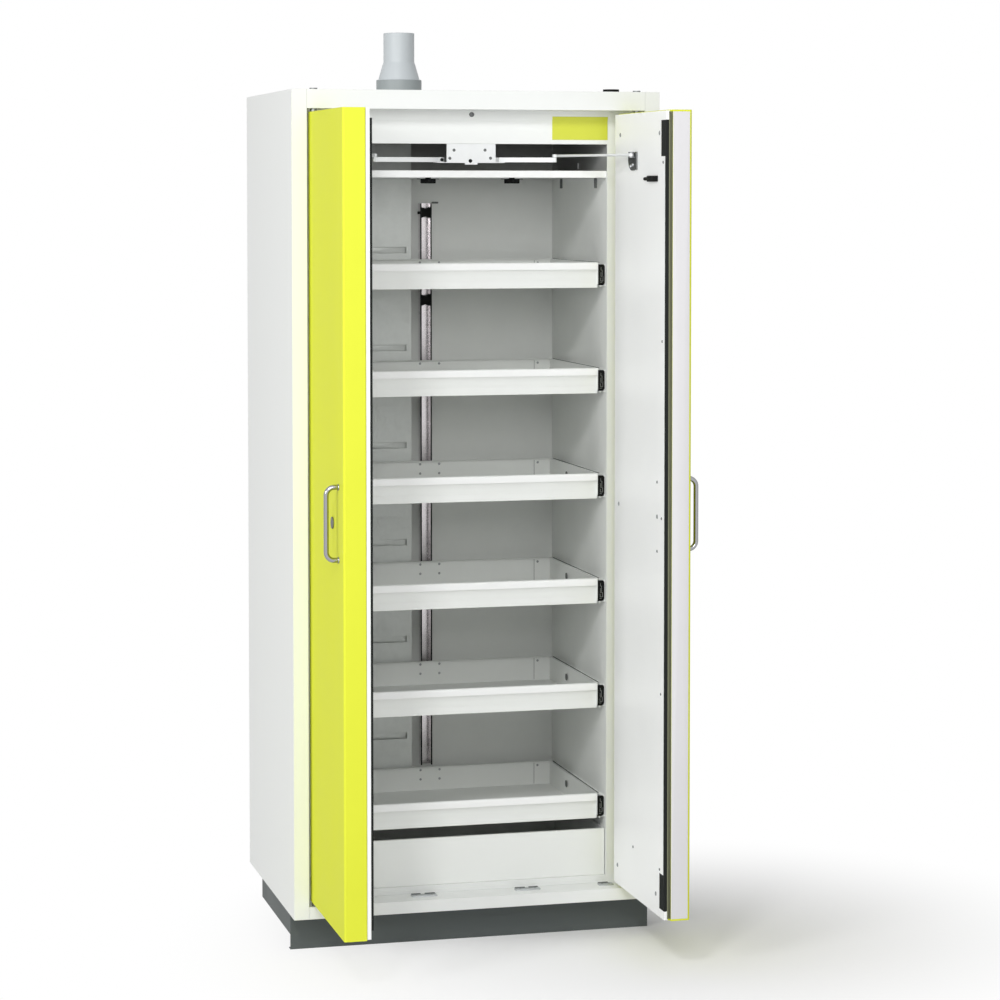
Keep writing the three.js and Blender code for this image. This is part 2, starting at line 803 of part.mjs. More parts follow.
function closerRod(hand) {
  const tip = leverTip(hand);
  const inner = new THREE.Vector3(tip.x, tip.y, rodMiddle);
  const outer = new THREE.Vector3(hingeX - eyeInset, hingeY - eyeForward, rodMiddle);
  const bar = new THREE.CylinderGeometry(rodRadius, rodRadius, inner.distanceTo(outer), segments.small);
  const turn = new THREE.Quaternion().setFromUnitVectors(
    new THREE.Vector3(0, 1, 0), outer.clone().sub(inner).normalize());
  const middle = inner.clone().add(outer).divideScalar(2);
  bar.applyQuaternion(turn);
  bar.translate(middle.x, middle.y, middle.z);
  const eyes = [inner, outer].map((end) => upright(rodEyeRadius, end.x, end.y,
    rodMiddle - rodEyeHeight / 2, rodMiddle + rodEyeHeight / 2));
  const bore = clearance(rodPinRadius, outer.x, outer.y, rodMiddle - rodEyeHeight, rodMiddle + rodEyeHeight);
  return cut(join([solid(bar), ...eyes]), [bore]);
}

// Exhaust and interlock

function exhaustDuct() {
  const face = front + ductFront;
  const rear = chamberRear - gap;
  const corners = [
    [ductLeft, rear],
    [ductLeft, face],
    [ductRight, face],
    [ductRight, rear],
  ];
  const channel = standing(foldedSheet([...corners].reverse(), -sheet), ductBottom, ductTop);
  const middles = Array.from({ length: slotCount }, (_, index) => slotFirst + index * slotPitch);
  const slots = middles.map((middle) => block([slotLeft, slotRight],
    [face - cutOverrun, face + cutOverrun], [middle - slotHeight / 2, middle + slotHeight / 2]));
  return cut(channel, slots);
}

// An open channel with its web on the rear wall, and a waisted block that fills it
function interlockRail() {
  const rear = chamberRear - gap;
  const half = railWidth / 2;
  const bar = block([railMiddle - half, railMiddle + half], [rear - railDepth, rear], [railBottom, railTop]);
  const inside = block([railMiddle - half + sheet, railMiddle + half - sheet],
    [rear - railDepth - cutOverrun, rear - sheet], [railBottom - cutOverrun, railTop + cutOverrun]);
  return cut(bar, [inside]);
}

function interlockBlock() {
  const rear = chamberRear - gap - sheet - gap;
  const half = railWidth / 2 - sheet - gap;
  const bottom = blockTop - blockHeight;
  return facing(outline([
    [railMiddle - half, bottom], [railMiddle, bottom + blockNotch], [railMiddle + half, bottom],
    [railMiddle + half, blockTop], [railMiddle, blockTop - blockNotch], [railMiddle - half, blockTop]]),
  rear - blockDepth, rear);
}

function inletStemRadius() {
  return inletRadius / 2;
}

// The reducer on the roof: a socket collar, a cone and the duct spigot, open from end to end
function exhaustSpigot() {
  const foot = height + gap;
  const below = chamberCeiling;
  const bore = spigotRadius - spigotWall;
  const points = [
    [bore, below], [spigotRadius, below], [spigotRadius, foot], [collarRadius, foot],
    [collarRadius, foot + collarHeight], [coneFoot, foot + collarHeight], [spigotRadius, foot + coneHeight],
    [spigotRadius, foot + spigotHeight], [bore, foot + spigotHeight], [bore, below],
  ].map(([radius, level]) => new THREE.Vector2(radius, level));
  const geometry = new THREE.LatheGeometry(points, segments.fine);
  geometry.rotateX(Math.PI / 2);
  geometry.translate(spigotOut, front + spigotBack, 0);
  return solid(geometry);
}

function airInletCap() {
  const x = inletOut;
  const y = front + inletBack;
  const cap = upright(inletRadius, x, y, height + gap, height + gap + inletHeight, segments.fine);
  const stem = upright(inletStemRadius(), x, y, height - inletStem, height + gap + inletHeight / 2);
  return join([cap, stem]);
}

// Plinth

function plinthPanel() {
  const face = front + plinthPanelFront;
  const top = plinthHeight - gap;
  const corners = [
    [face + plinthPanelFlange, 0],
    [face, 0],
    [face, top],
    [face + plinthPanelFlange, top],
  ];
  return lying(foldedSheet(corners, sheet), -plinthPanelHalf, plinthPanelHalf);
}

// A ring of channels with a cross channel under the middle, all with the web on the floor
function plinthFrame() {
  const top = plinthHeight - gap;
  const rails = plinthRails(0, [0, top]);
  return cut(rails, [plinthRails(plinthSheet, [plinthSheet, top + cutOverrun])]);
}

function plinthRails(inset, levels) {
  const face = front + plinthPanelFront + plinthPanelFlange + gap;
  const rear = front + plinthRear;
  const outside = block([-plinthHalf + inset, plinthHalf - inset], [face + inset, rear - inset], levels);
  const bay = block([-plinthHalf + plinthRail - inset, plinthHalf - plinthRail + inset],
    [face + plinthRail - inset, rear - plinthRail + inset], [-cutOverrun, plinthHeight + cutOverrun]);
  const cross = block([-plinthHalf + plinthRail / 2, plinthHalf - plinthRail / 2],
    [-crossRail / 2 + inset, crossRail / 2 - inset], levels);
  return join([cut(outside, [bay]), cross]);
}

// Assembly

place('plinth_front', 'plinth', geometryOf(plinthPanel()));
place('plinth_frame', 'plinth', geometryOf(plinthFrame()));
place('base_panel', 'casing', geometryOf(basePanel()));
place('back_panel', 'casing', geometryOf(backPanel()));
place('roof_panel', 'casing', geometryOf(roofPanel()));
place('header', 'casing', geometryOf(header()));
place('front_frame', 'casing', geometryOf(frontFrame()));
place('insulation', 'board', geometryOf(insulation()));
place('rear_lining', 'lining', geometryOf(rearLining()));
place('floor_lining', 'lining', geometryOf(floorLining()));
place('ceiling_lining', 'lining', geometryOf(ceilingLining()));
place('ceiling_tray', 'casing', geometryOf(ceilingTray()));
place('sump_tray', 'casing', geometryOf(sumpTray()));
place('closer_plate', 'casing', geometryOf(closerPlate()));
place('exhaust_duct', 'lining', geometryOf(exhaustDuct()));
place('exhaust_spigot', 'plastic', geometryOf(exhaustSpigot()));
place('air_inlet_cap', 'black', geometryOf(airInletCap()));
place('interlock_rail', 'steel', geometryOf(interlockRail()));
place('interlock_block', 'black', geometryOf(interlockBlock()));

for (const [hand, side] of [['left', -1], ['right', 1]]) {
  const leaf = side < 0 ? cut(doorLeaf(side), [lockBore()]) : doorLeaf(side);
  place(`${hand}_side_panel`, 'casing', handed(sidePanel(), side));
  place(`${hand}_lining`, 'lining', handed(sideLining(), side));
  place(`${hand}_hinge_pin_top`, 'steel', handed(hingePinTop(), side));
  place(`${hand}_hinge_pin_bottom`, 'steel', handed(hingePinBottom(), side));
  place(`${hand}_door_leaf`, 'yellow', handed(swungOpen(leaf), side));
  place(`${hand}_door_panel`, 'casing', handed(swungOpen(doorPanel(side)), side));
  place(`${hand}_door_seal`, 'seal', handed(swungOpen(doorSeal(side)), side));
  place(`${hand}_door_handle`, 'chrome', handed(swungOpen(handle()), side));
  place(`${hand}_closer_bracket`, 'chrome', handed(swungOpen(closerBracket()), side));
  place(`${hand}_closer_lever`, 'steel', handed(closerLever(hand), side));
  place(`${hand}_closer_rod`, 'steel', handed(closerRod(hand), side));
}
place('lock_cylinder', 'chrome', handed(swungOpen(lockCylinder()), -1));

drawerHeights().forEach((top, index) => {
  place(`drawer_${index + 1}`, 'casing', geometryOf(drawer(top)));
  for (const [hand, side] of [['left', -1], ['right', 1]]) {
    place(`drawer_${index + 1}_${hand}_slide`, 'steel', handed(middleMember(top - slideDrop), side));
  }
});

export default cabinet;
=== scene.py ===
# %% [markdown]
# # A fire-resistant safety cabinet, dressed in Blender
# The frame is the finished CAD model: casing, doors, drawers, slides and closer. This script gives
# each surface its finish and adds the small pieces that a maker fits last. The frame is in metres.

# %% Load the frame
import json
import math
import bpy
import numpy as np
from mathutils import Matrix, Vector


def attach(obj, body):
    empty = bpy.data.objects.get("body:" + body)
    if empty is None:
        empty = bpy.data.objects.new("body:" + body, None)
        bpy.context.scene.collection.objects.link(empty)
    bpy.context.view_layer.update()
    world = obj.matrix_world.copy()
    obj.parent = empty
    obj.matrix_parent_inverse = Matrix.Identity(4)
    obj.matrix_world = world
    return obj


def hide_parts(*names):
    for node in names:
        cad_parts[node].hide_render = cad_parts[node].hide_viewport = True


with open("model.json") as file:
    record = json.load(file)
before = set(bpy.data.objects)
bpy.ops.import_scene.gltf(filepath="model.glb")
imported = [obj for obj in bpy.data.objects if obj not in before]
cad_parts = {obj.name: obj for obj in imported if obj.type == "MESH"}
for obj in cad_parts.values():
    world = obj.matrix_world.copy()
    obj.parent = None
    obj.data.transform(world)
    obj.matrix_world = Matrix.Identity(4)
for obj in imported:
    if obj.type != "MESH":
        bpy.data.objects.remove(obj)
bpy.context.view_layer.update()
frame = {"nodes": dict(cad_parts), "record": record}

nodes = frame["nodes"]
scene = bpy.context.scene

# %% [markdown]
# ## Places
# The places of small pieces are stated in millimetres, as on a drawing. X is nought in the middle of
# the casing's width and Y in the middle of its depth, so its front face lies at -300. Z is nought on
# the floor. A door that stands open by a quarter turn has its inner face in a plane of constant X.

# %% Places that several pieces share
MM = 0.001
SIDES = (-1, 1)
HANDS = (("left", -1), ("right", 1))
TRAY_UNDER, SILL_TOP = 1785.0, 112.0
FIRST_DRAWER_TOP, DRAWER_PITCH, LAST_DRAWER_TOP = 1573, 247.5, 320.5
DRAWER_TOPS = [FIRST_DRAWER_TOP - DRAWER_PITCH * row for row in range(5)] + [LAST_DRAWER_TOP]
DRAWER_ROWS = list(enumerate(DRAWER_TOPS, 1))
print("drawer tops", DRAWER_TOPS)

# %% [markdown]
# ## Finishes
# Powder coat is paint that was baked from dust, so it has a faint orange-peel skin. One flat colour
# would look like plastic. A fine noise in the bump gives the skin, and a slow one shifts the colour
# and the gloss a little. The Bevel node catches light on edges as a folded sheet does. All patterns
# read Object coordinates, which are metres here, so they stay put when a door or a drawer moves.

# %% Helpers for a node tree
def linear(red, green, blue):
    """sRGB from 0 to 255 to linear light: a power of 2.4 above a small straight part."""
    srgb = np.array([red, green, blue]) / 255
    return (*np.where(srgb <= 0.04045, srgb / 12.92, ((srgb + 0.055) / 1.055) ** 2.4), 1.0)

def add_node(tree, kind, **values):
    """A new node with values in its named sockets; an underscore stands for a blank."""
    made = tree.nodes.new(kind)
    for key, value in values.items():
        made.inputs[key.replace("_", " ")].default_value = value
    return made

def scaled(tree, colour, share):
    """A colour socket times a share socket, part by part."""
    product = add_node(tree, "ShaderNodeVectorMath")
    product.operation = "SCALE"
    tree.links.new(colour, product.inputs[0])
    tree.links.new(share, product.inputs["Scale"])
    return product.outputs["Vector"]

print("white paint in linear light", [round(float(part), 3) for part in linear(237, 239, 237)])

# %% Colour, gloss and skin
EDGE_BLEND = 0.35
LEAST_ROUGHNESS = 0.02
SKIN_HEIGHT = 0.0004
BEVEL_SAMPLES = 4

def drifting(tree, base, drift, slow):
    """The base colour times one minus the drift, mixed by a slow noise with the base colour times one
    plus the drift."""
    tint = add_node(tree, "ShaderNodeMix")
    tint.data_type = "RGBA"
    tint.inputs[6].default_value = (*(max(0.0, part * (1 - drift)) for part in base[:3]), 1.0)
    tint.inputs[7].default_value = (*(min(1.0, part * (1 + drift)) for part in base[:3]), 1.0)
    tree.links.new(slow, tint.inputs[0])
    return tint.outputs[2]

def painted_flank_reflection(tree, paint, rim):
    """Painted reflection: the colour times one where the surface faces the eye, falling to rim where it turns
    away, as a bright bar mirrors a dark room on its flanks.
    """
    facing = add_node(tree, "ShaderNodeLayerWeight", Blend=EDGE_BLEND)
    dark = add_node(tree, "ShaderNodeMapRange", To_Min=1.0, To_Max=rim)
    tree.links.new(facing.outputs["Facing"], dark.inputs["Value"])
    return scaled(tree, paint, dark.outputs["Result"])

def drifting_gloss(tree, roughness, drift, slow):
    """A roughness that a slow noise takes from itself minus the drift to itself plus the drift."""
    gloss = add_node(tree, "ShaderNodeMapRange", To_Min=max(LEAST_ROUGHNESS, roughness - drift),
                     To_Max=min(1.0, roughness + drift))
    tree.links.new(slow, gloss.inputs["Value"])
    return gloss.outputs["Result"]

def skinned(tree, fine, depth, edge):
    """A normal that is rounded at edges by a radius and then tilted by a fine noise as a height."""
    rounding = add_node(tree, "ShaderNodeBevel", Radius=edge)
    rounding.samples = BEVEL_SAMPLES
    bump = add_node(tree, "ShaderNodeBump", Strength=depth, Distance=SKIN_HEIGHT)
    tree.links.new(fine, bump.inputs["Height"])
    tree.links.new(rounding.outputs["Normal"], bump.inputs["Normal"])
    return bump.outputs["Normal"]

print("skin up to", SKIN_HEIGHT, "metres high")

# %% One recipe for every finish
def finish(name, colour, roughness, metallic=0.0, grain=(1.0, 1.0, 1.0), skin=900.0, skin_depth=0.05,
           cloud=6.0, drift=0.05, gloss_drift=0.08, edge=0.0008, shine=0.5, rim=1.0):
    """A surface with a fine skin in its bump, stretched by the grain, and a slow drift of colour and gloss.
    Below one, rim is the share of the colour that is left where the surface turns away: a painted reflection
    of a dark room on the flanks."""
    material = bpy.data.materials.new(name)
    material.use_nodes = True
    tree = material.node_tree
    shader = tree.nodes["Principled BSDF"]
    place = add_node(tree, "ShaderNodeTexCoord")
    stretch = add_node(tree, "ShaderNodeMapping", Scale=grain)
    fine = add_node(tree, "ShaderNodeTexNoise", Scale=skin, Detail=3.0)
    slow = add_node(tree, "ShaderNodeTexNoise", Scale=cloud, Detail=4.0)
    tree.links.new(place.outputs["Object"], stretch.inputs["Vector"])
    tree.links.new(stretch.outputs["Vector"], fine.inputs["Vector"])
    tree.links.new(place.outputs["Object"], slow.inputs["Vector"])
    paint = drifting(tree, linear(*colour), drift, slow.outputs["Fac"])
    # Painted reflection: darker flanks, for a dark room mirrored in bright metal.
    if rim < 1:
        paint = painted_flank_reflection(tree, paint, rim)
    gloss = drifting_gloss(tree, roughness, gloss_drift, slow.outputs["Fac"])
    normal = skinned(tree, fine.outputs["Fac"], skin_depth, edge)
    tree.links.new(paint, shader.inputs["Base Color"])
    tree.links.new(gloss, shader.inputs["Roughness"])
    tree.links.new(normal, shader.inputs["Normal"])
    shader.inputs["Metallic"].default_value = metallic
    shader.inputs["Specular IOR Level"].default_value = shine
    return material

# %% [markdown]
# ## Paint, board and lining
# Sheet that shows is powder coated, and boards of mineral fill lie between the sheets. White paint
# stays under 255, at 237, so it still shows which way a face turns. The inner skins of the doors are
# a little lighter. The yellow has almost no gloss, because a highlight would wash it out.

# %% Painted and lined surfaces
white_coat = finish("white_powder_coat", (237, 239, 237), 0.42, skin_depth=0.10, drift=0.015)
door_liner = finish("door_liner_coat", (250, 251, 250), 0.42, skin_depth=0.10, drift=0.015)
drawer_coat = finish("drawer_powder_coat", (240, 242, 239), 0.45, skin_depth=0.10, drift=0.015)
yellow_coat = finish("signal_yellow_coat", (226, 232, 68), 0.5, skin_depth=0.12, drift=0.025, shine=0.05)
lining_sheet = finish("chamber_lining", (241, 243, 240), 0.55, skin=500.0, skin_depth=0.14, cloud=14.0,
                      drift=0.035)
mineral_board = finish("mineral_board", (206, 200, 184), 0.92, skin=260.0, skin_depth=0.5, cloud=22.0,
                       drift=0.08)
plinth_coat = finish("plinth_grey_coat", (83, 89, 88), 0.6, skin=420.0, skin_depth=0.25, drift=0.05)
plate_film = finish("bare_plate_film", (209, 214, 66), 0.35, skin_depth=0.04, drift=0.02)
print("painted finishes", len(bpy.data.materials))

# %% [markdown]
# Over the ceiling tray the lining looks much darker than below it, and that darkness is shade, so this step
# is painted shade. It could be a second material, but each lining is one sheet from floor to ceiling. So a
# step on the height, read from Object coordinates, leaves less of the colour on the upper part of the same
# sheet.

# %% Painted shade on the lining over the tray
STEP_WIDTH = 0.002
LINING_SHADE_SHARE = 0.4

def painted_shade_above(material, height, share):
    """Painted shade: above a height on the object the colour is multiplied by a share, a step on Z."""
    tree = material.node_tree
    shader = tree.nodes["Principled BSDF"]
    paint = shader.inputs["Base Color"].links[0].from_socket
    place = add_node(tree, "ShaderNodeTexCoord")
    split = add_node(tree, "ShaderNodeSeparateXYZ")
    step = add_node(tree, "ShaderNodeMapRange", From_Min=height, From_Max=height + STEP_WIDTH,
                    To_Min=1.0, To_Max=share)
    tree.links.new(place.outputs["Object"], split.inputs["Vector"])
    tree.links.new(split.outputs["Z"], step.inputs["Value"])
    tree.links.new(scaled(tree, paint, step.outputs["Result"]), shader.inputs["Base Color"])

# Painted shade on the lining over the ceiling tray.
painted_shade_above(lining_sheet, TRAY_UNDER * MM, LINING_SHADE_SHARE)
print("lining dimmed above", TRAY_UNDER)

# %% [markdown]
# ## Metals
# Drawn and turned steel carries fine lines along the way it was worked, so a Mapping node stretches
# the skin noise. Zinc shows slow clouds. A bright round bar reflects a pale room in its middle and a
# dark one on its flanks. The plain studio here has no dark side, so the rim value stands for it.

# %% Metal surfaces
zinc_plate = finish("zinc_plated_steel", (192, 195, 197), 0.34, 1.0, grain=(1, 1, 0.05), skin=1400.0,
                    skin_depth=0.12, cloud=30.0, drift=0.10, edge=0.0004)
# Their rim below one paints a dark reflection on the flanks of these steels.
polished_steel = finish("polished_steel", (170, 171, 175), 0.16, 1.0, skin=800.0, skin_depth=0.02,
                        cloud=30.0, drift=0.04, gloss_drift=0.04, edge=0.0004, rim=0.12)
dull_steel = finish("dull_steel", (128, 130, 131), 0.42, 0.9, skin=900.0, skin_depth=0.08, cloud=30.0,
                    drift=0.08, edge=0.0004, rim=0.4)
turned_steel = finish("turned_steel", (168, 170, 172), 0.3, 1.0, grain=(0.1, 0.1, 1), skin=1600.0,
                      skin_depth=0.1, drift=0.06, edge=0.0004)
bright_zinc = finish("bright_zinc", (226, 228, 228), 0.5, 0.35, grain=(1, 1, 0.2), skin=1200.0,
                     skin_depth=0.08, cloud=40.0, drift=0.05, edge=0.0006)
galvanised_sheet = finish("galvanised_sheet", (206, 209, 206), 0.45, 0.55, skin=420.0, skin_depth=0.1,
                          cloud=45.0, drift=0.12, gloss_drift=0.15)
rail_zinc = finish("rail_zinc", (218, 213, 215), 0.25, 1.0, grain=(1, 1, 0.3), skin=900.0,
                   skin_depth=0.06, cloud=50.0, drift=0.10, edge=0.0004)
section_grey = finish("slide_section_grey", (148, 151, 148), 0.5, 0.2, skin=900.0, skin_depth=0.08,
                      drift=0.08)
print("finishes with metals", len(bpy.data.materials))

# %% [markdown]
# ## Rubber and plastic
# Rubber and most plastics scatter light more than paint does, so they get more roughness and less shine. The
# olive grey band in the right door's rebate, like felt, with a coarse skin, is painted shade where the edge
# lies in shadow. The pipe and its collar are as shiny as paint, and their colour is even. The darker grey
# band on the collar is painted shade.

# %% Rubber and plastic surfaces
seal_rubber = finish("seal_rubber", (36, 38, 37), 0.85, skin=300.0, skin_depth=0.3, drift=0.15,
                     shine=0.15)
# Olive grey band in the rebate: painted shade.
painted_rebate_shade = finish("painted_rebate_shade", (132, 134, 110), 0.85, skin=300.0, skin_depth=0.3, drift=0.05,
                        shine=0.1)
edge_cover = finish("edge_cover_strip", (226, 225, 227), 0.6, skin=300.0, skin_depth=0.1, drift=0.02,
                    shine=0.2)
# Darker grey over the socket: painted shade.
painted_socket_shade = finish("pipe_collar_grey", (151, 158, 159), 0.5, skin=300.0, skin_depth=0.05, drift=0.03)
spigot_plastic = finish("pipe_grey_plastic", (196, 202, 205), 0.45, skin=300.0, skin_depth=0.04,
                        drift=0.03)
mid_grey = finish("grey_plastic", (112, 115, 114), 0.6, skin=500.0, skin_depth=0.15, drift=0.06,
                  shine=0.3)
black_plastic = finish("black_plastic", (12, 13, 12), 0.6, skin=600.0, skin_depth=0.15, drift=0.15,
                       shine=0.15)
# Dark grey for dark bolts, buttons and a knob, and painted shade for the dark lines on drawers and rail.
dark_grey_and_painted_shade = finish("dark_grey_and_painted_shade", (46, 48, 48), 0.9, skin_depth=0.1, drift=0.1, shine=0.1)
print("finishes in all", len(bpy.data.materials))

# %% [markdown]
# ## Finishes on the CAD pieces
# A CAD piece whose shape is right stays and only gets a better finish. Each could be named by hand,
# but the record groups its pieces by material slot, so one table covers all sixty, and a second one
# names the exceptions.

# %% Dress the frame
SLOT_FINISH = {
    "casing_white": white_coat, "drawer_white": drawer_coat, "lining_grey": lining_sheet,
    "board": mineral_board, "door_yellow": yellow_coat, "plinth_dark": plinth_coat,
    "seal_black": seal_rubber, "steel_zinc": zinc_plate, "chrome": polished_steel,
    "pin_steel": turned_steel, "spigot_grey": spigot_plastic, "plastic_black": black_plastic,
}
OWN_FINISH = {"exhaust_duct": galvanised_sheet, "closer_plate": bright_zinc, "interlock_rail": rail_zinc,
              "lock_cylinder": dull_steel, "ceiling_tray": door_liner}
for hand, _ in HANDS:
    OWN_FINISH.update({f"{hand}_closer_lever": bright_zinc, f"{hand}_closer_rod": bright_zinc,
                       f"{hand}_closer_bracket": dull_steel, f"{hand}_door_panel": door_liner,
                       f"{hand}_hinge_pin_top": dull_steel, f"{hand}_hinge_pin_bottom": dull_steel})
for part in frame["record"]["subparts"]:
    name = part["node"]
    nodes[name].data.materials.clear()
    nodes[name].data.materials.append(OWN_FINISH.get(name, SLOT_FINISH[part["material_slot"]]))
print("dressed", len(nodes), "with a finish of their own", len(OWN_FINISH))

# %% [markdown]
# ## Shells worked out with arrays
# Most small fittings are pressed or moulded: a rounded outline that rises and turns over at its edge.
# Each could be a cube with a Bevel modifier. Here it is a stack of rings, so its sizes stay in one
# line and both ends close. A ring is the outline drawn in by an inset, at a level from a profile.

# %% Faces between rings
def ring_faces(rings, around):
    """Quads between neighbouring rings: each joins a point to the next one round and both above."""
    level, step = np.meshgrid(np.arange(rings - 1), np.arange(around), indexing="ij")
    here, after = level * around + step, level * around + (step + 1) % around
    return np.stack([here, after, after + around, here + around], -1).reshape(-1, 4)

def capped(rings, poles):
    """Rings of points joined by quads, with a fan of triangles from each end ring to its pole."""
    around = rings.shape[1]
    flat = rings.reshape(-1, 3)
    step = np.arange(around)
    after, last = (step + 1) % around, len(flat) - around
    pole = np.full(around, len(flat))
    floor = np.stack([after, step, pole], -1)
    roof = np.stack([last + step, last + after, pole + 1], -1)
    faces = ring_faces(len(rings), around).tolist() + floor.tolist() + roof.tolist()
    return np.vstack([flat, poles]), faces

def merged(parts):
    """Several shells in one mesh, with each one's indices moved past the points before it."""
    points, faces, start = [], [], 0
    for own_points, own_faces in parts:
        points.append(own_points)
        faces += [[index + start for index in face] for face in own_faces]
        start += len(own_points)
    return np.vstack(points), faces

print("faces between two rings of four points", ring_faces(2, 4).tolist())

# %% From points to a piece
SOFT_CREASE, CREASE, FIRM_CREASE = 30, 40, 50

def add_mesh(name, points, faces, material, body, slot, crease=CREASE):
    """Points in millimetres and faces become one smooth piece that rides on a body. Edges that turn
    by more degrees than the crease stay sharp."""
    mesh = bpy.data.meshes.new(name)
    mesh.from_pydata((np.asarray(points, float) * MM).tolist(), [], faces)
    mesh.validate()
    mesh.shade_smooth()
    mesh.set_sharp_from_angle(angle=math.radians(crease))
    mesh.materials.append(material)
    piece = bpy.data.objects.new(name, mesh)
    scene.collection.objects.link(piece)
    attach(piece, body)
    return piece

print("creases in degrees", SOFT_CREASE, CREASE, FIRM_CREASE)

# %% Outlines and profiles
AXES = {  # outward, across and up for a piece that faces each way
    "-y": ((0, -1, 0), (1, 0, 0), (0, 0, 1)), "+z": ((0, 0, 1), (1, 0, 0), (0, 1, 0)),
    "-x": ((-1, 0, 0), (0, -1, 0), (0, 0, 1)), "-z": ((0, 0, -1), (-1, 0, 0), (0, 1, 0)),
    "+x": ((1, 0, 0), (0, 1, 0), (0, 0, 1)),
}
LEAST_RADIUS = 0.01
SCREW_DOME_SHARES = (0.0, 0.2, 0.4, 0.55)
SOCKET_SHARE, SOCKET_LEVEL_SHARE = 0.6, 0.45

def rounded_loop(half_a, half_b, radius, steps=6):
    """Four quarter circles, each centred a radius in from its corner of a rectangle."""
    radius = max(radius, LEAST_RADIUS)
    turn = np.linspace(0, np.pi / 2, steps)
    angle = (np.arange(4)[:, None] * np.pi / 2 + turn).ravel()
    signs = np.repeat([[1, 1], [-1, 1], [-1, -1], [1, -1]], steps, 0)
    centre = signs * [max(half_a - radius, 0), max(half_b - radius, 0)]
    return centre + radius * np.stack([np.cos(angle), np.sin(angle)], -1)

def plate_profile(height, edge):
    """Straight up, then a quarter circle over the edge."""
    turn = np.linspace(0, np.pi / 2, 4)
    return [(0, 0)] + [(edge * (1 - math.cos(a)), height - edge * (1 - math.sin(a))) for a in turn]

def screw_profile(radius, height):
    """A dome, whose level is the height times one minus the cube of the share of the radius that is
    left, and a socket sunk into its middle."""
    dome = [(radius * share, height * (1 - (1 - share) ** 3)) for share in SCREW_DOME_SHARES]
    return [(0, 0)] + dome + [(radius * SOCKET_SHARE, height * SOCKET_LEVEL_SHARE)]

print("profile of a plate 2 high with an edge of 1", np.round(plate_profile(2, 1), 2).tolist())

# %% Forms made of rings
def placed(rings, levels, centre, facing):
    """Flat rings, each lifted to its level, turned to face one way and moved to a centre."""
    outward, across, up = (np.array(axis, float) for axis in AXES[facing])
    return np.array(centre, float) + rings[..., :1] * across + rings[..., 1:] * up + levels * outward

def shell(centre, facing, size, profile):
    """Rings of a rounded rectangle, one for each (inset, level) of the profile, closed at both ends.
    The size is half the width, half the height and the radius of the corners."""
    half_a, half_b, radius = size
    rings = np.array([rounded_loop(half_a - inset, half_b - inset, radius - inset)
                      for inset, _ in profile])
    levels = np.array([level for _, level in profile])[:, None, None]
    points = placed(rings, levels, centre, facing)
    return capped(points, points[[0, -1]].mean(1))

def plate(centre, facing, size, rise):
    """A shell that stands out by a height, with an edge rounded by a radius: rise holds both."""
    return shell(centre, facing, size, plate_profile(*rise))

def flat_piece(loop, centre, facing, rise):
    """An outline whose middle sees all its corners, raised by a height. At the top each corner is
    drawn towards the middle by the edge."""
    height, edge = rise
    loop = np.array(loop, float)
    middle = loop.mean(0)
    away = loop - middle
    drawn = middle + away * (1 - edge / np.linalg.norm(away, axis=1, keepdims=True))
    levels = np.array([0, height - edge, height])[:, None, None]
    points = placed(np.array([loop, loop, drawn]), levels, centre, facing)
    return capped(points, points[[0, -1]].mean(1))

def screws(name, places, facing, size, material, body, slot):
    """Equal screw heads of a radius and a height at a list of places, as one piece."""
    radius, height = size
    heads = [shell(place, facing, (radius, radius, radius), screw_profile(radius, height))
             for place in places]
    return add_mesh(name, *merged(heads), material, body, slot)

print("points in one plate", len(plate((0, 0, 0), "-y", (10, 5, 2), (2, 1))[0]))

# %% [markdown]
# ## Forms with one section
# Bars, pipes and folded rims keep one section all the way. They could be curves with a bevel object.
# As arrays they are closed meshes at once, with their place in the mesh, and every size is a number
# in a formula.

# %% Forms carried along a path
def tube(path, radius, around=24):
    """Circles round each point of a path in a plane of constant Y, square to its local direction."""
    path = np.array(path, float)
    along = np.gradient(path, axis=0)
    along /= np.linalg.norm(along, axis=1, keepdims=True)
    side = np.cross(along, [0, 1, 0])
    turn = np.linspace(0, 2 * np.pi, around, endpoint=False)[None, :, None]
    rings = path[:, None] + radius * (np.cos(turn) * side[:, None] + np.sin(turn) * np.array([0, 1, 0]))
    points, faces = capped(rings, path[[0, -1]])
    return points, [face[::-1] for face in faces]

def turned(centre, profile, around=96):
    """A profile of (radius, level) turned about an upright axis, its last ring joined to its first."""
    turn = np.linspace(0, 2 * np.pi, around, endpoint=False)[None, :]
    radius, level = np.array(profile, float).T[..., None]
    rings = np.stack([radius * np.cos(turn), radius * np.sin(turn), level + 0 * turn], -1)
    flat = (rings + centre).reshape(-1, 3)
    return flat, (ring_faces(len(profile) + 1, around) % len(flat)).tolist()

def swept_across(outline, half):
    """A closed outline of (y, z) carried along X between minus and plus half, flat at each end."""
    outline = np.array(outline, float)
    around = len(outline)
    ends = [np.column_stack([np.full(around, side * half), outline]) for side in SIDES]
    lids = [list(range(around - 1, -1, -1)), list(range(around, 2 * around))]
    return np.vstack(ends), ring_faces(2, around).tolist() + lids

print("faces of a square bar", len(swept_across([(0, 0), (1, 0), (1, 1), (0, 1)], 5)[1]))

# %% [markdown]
# ## The bare plate on the lintel
# A film sticks to the sheet under it, so it follows the bend. A flat card would stand off there. So
# it is a grid over width and height, and its depth is the lintel's own: upright below the bend and
# leaning forward above it. A second layer and a band round the edge make it a closed sheet.

# %% The lintel's face and a film on it
LINTEL_FACE, LINTEL_BEND, LINTEL_TOP, LINTEL_LEAN = -232.5, 1901.0, 1925.0, 5.0
PLATE_SIDES, PLATE_LEVELS = (193, 327), (1858, 1911.8)
PLATE_COLUMNS, PLATE_ROWS = 12, 28
FILM_BACK, FILM_FRONT = 0.1, 0.5

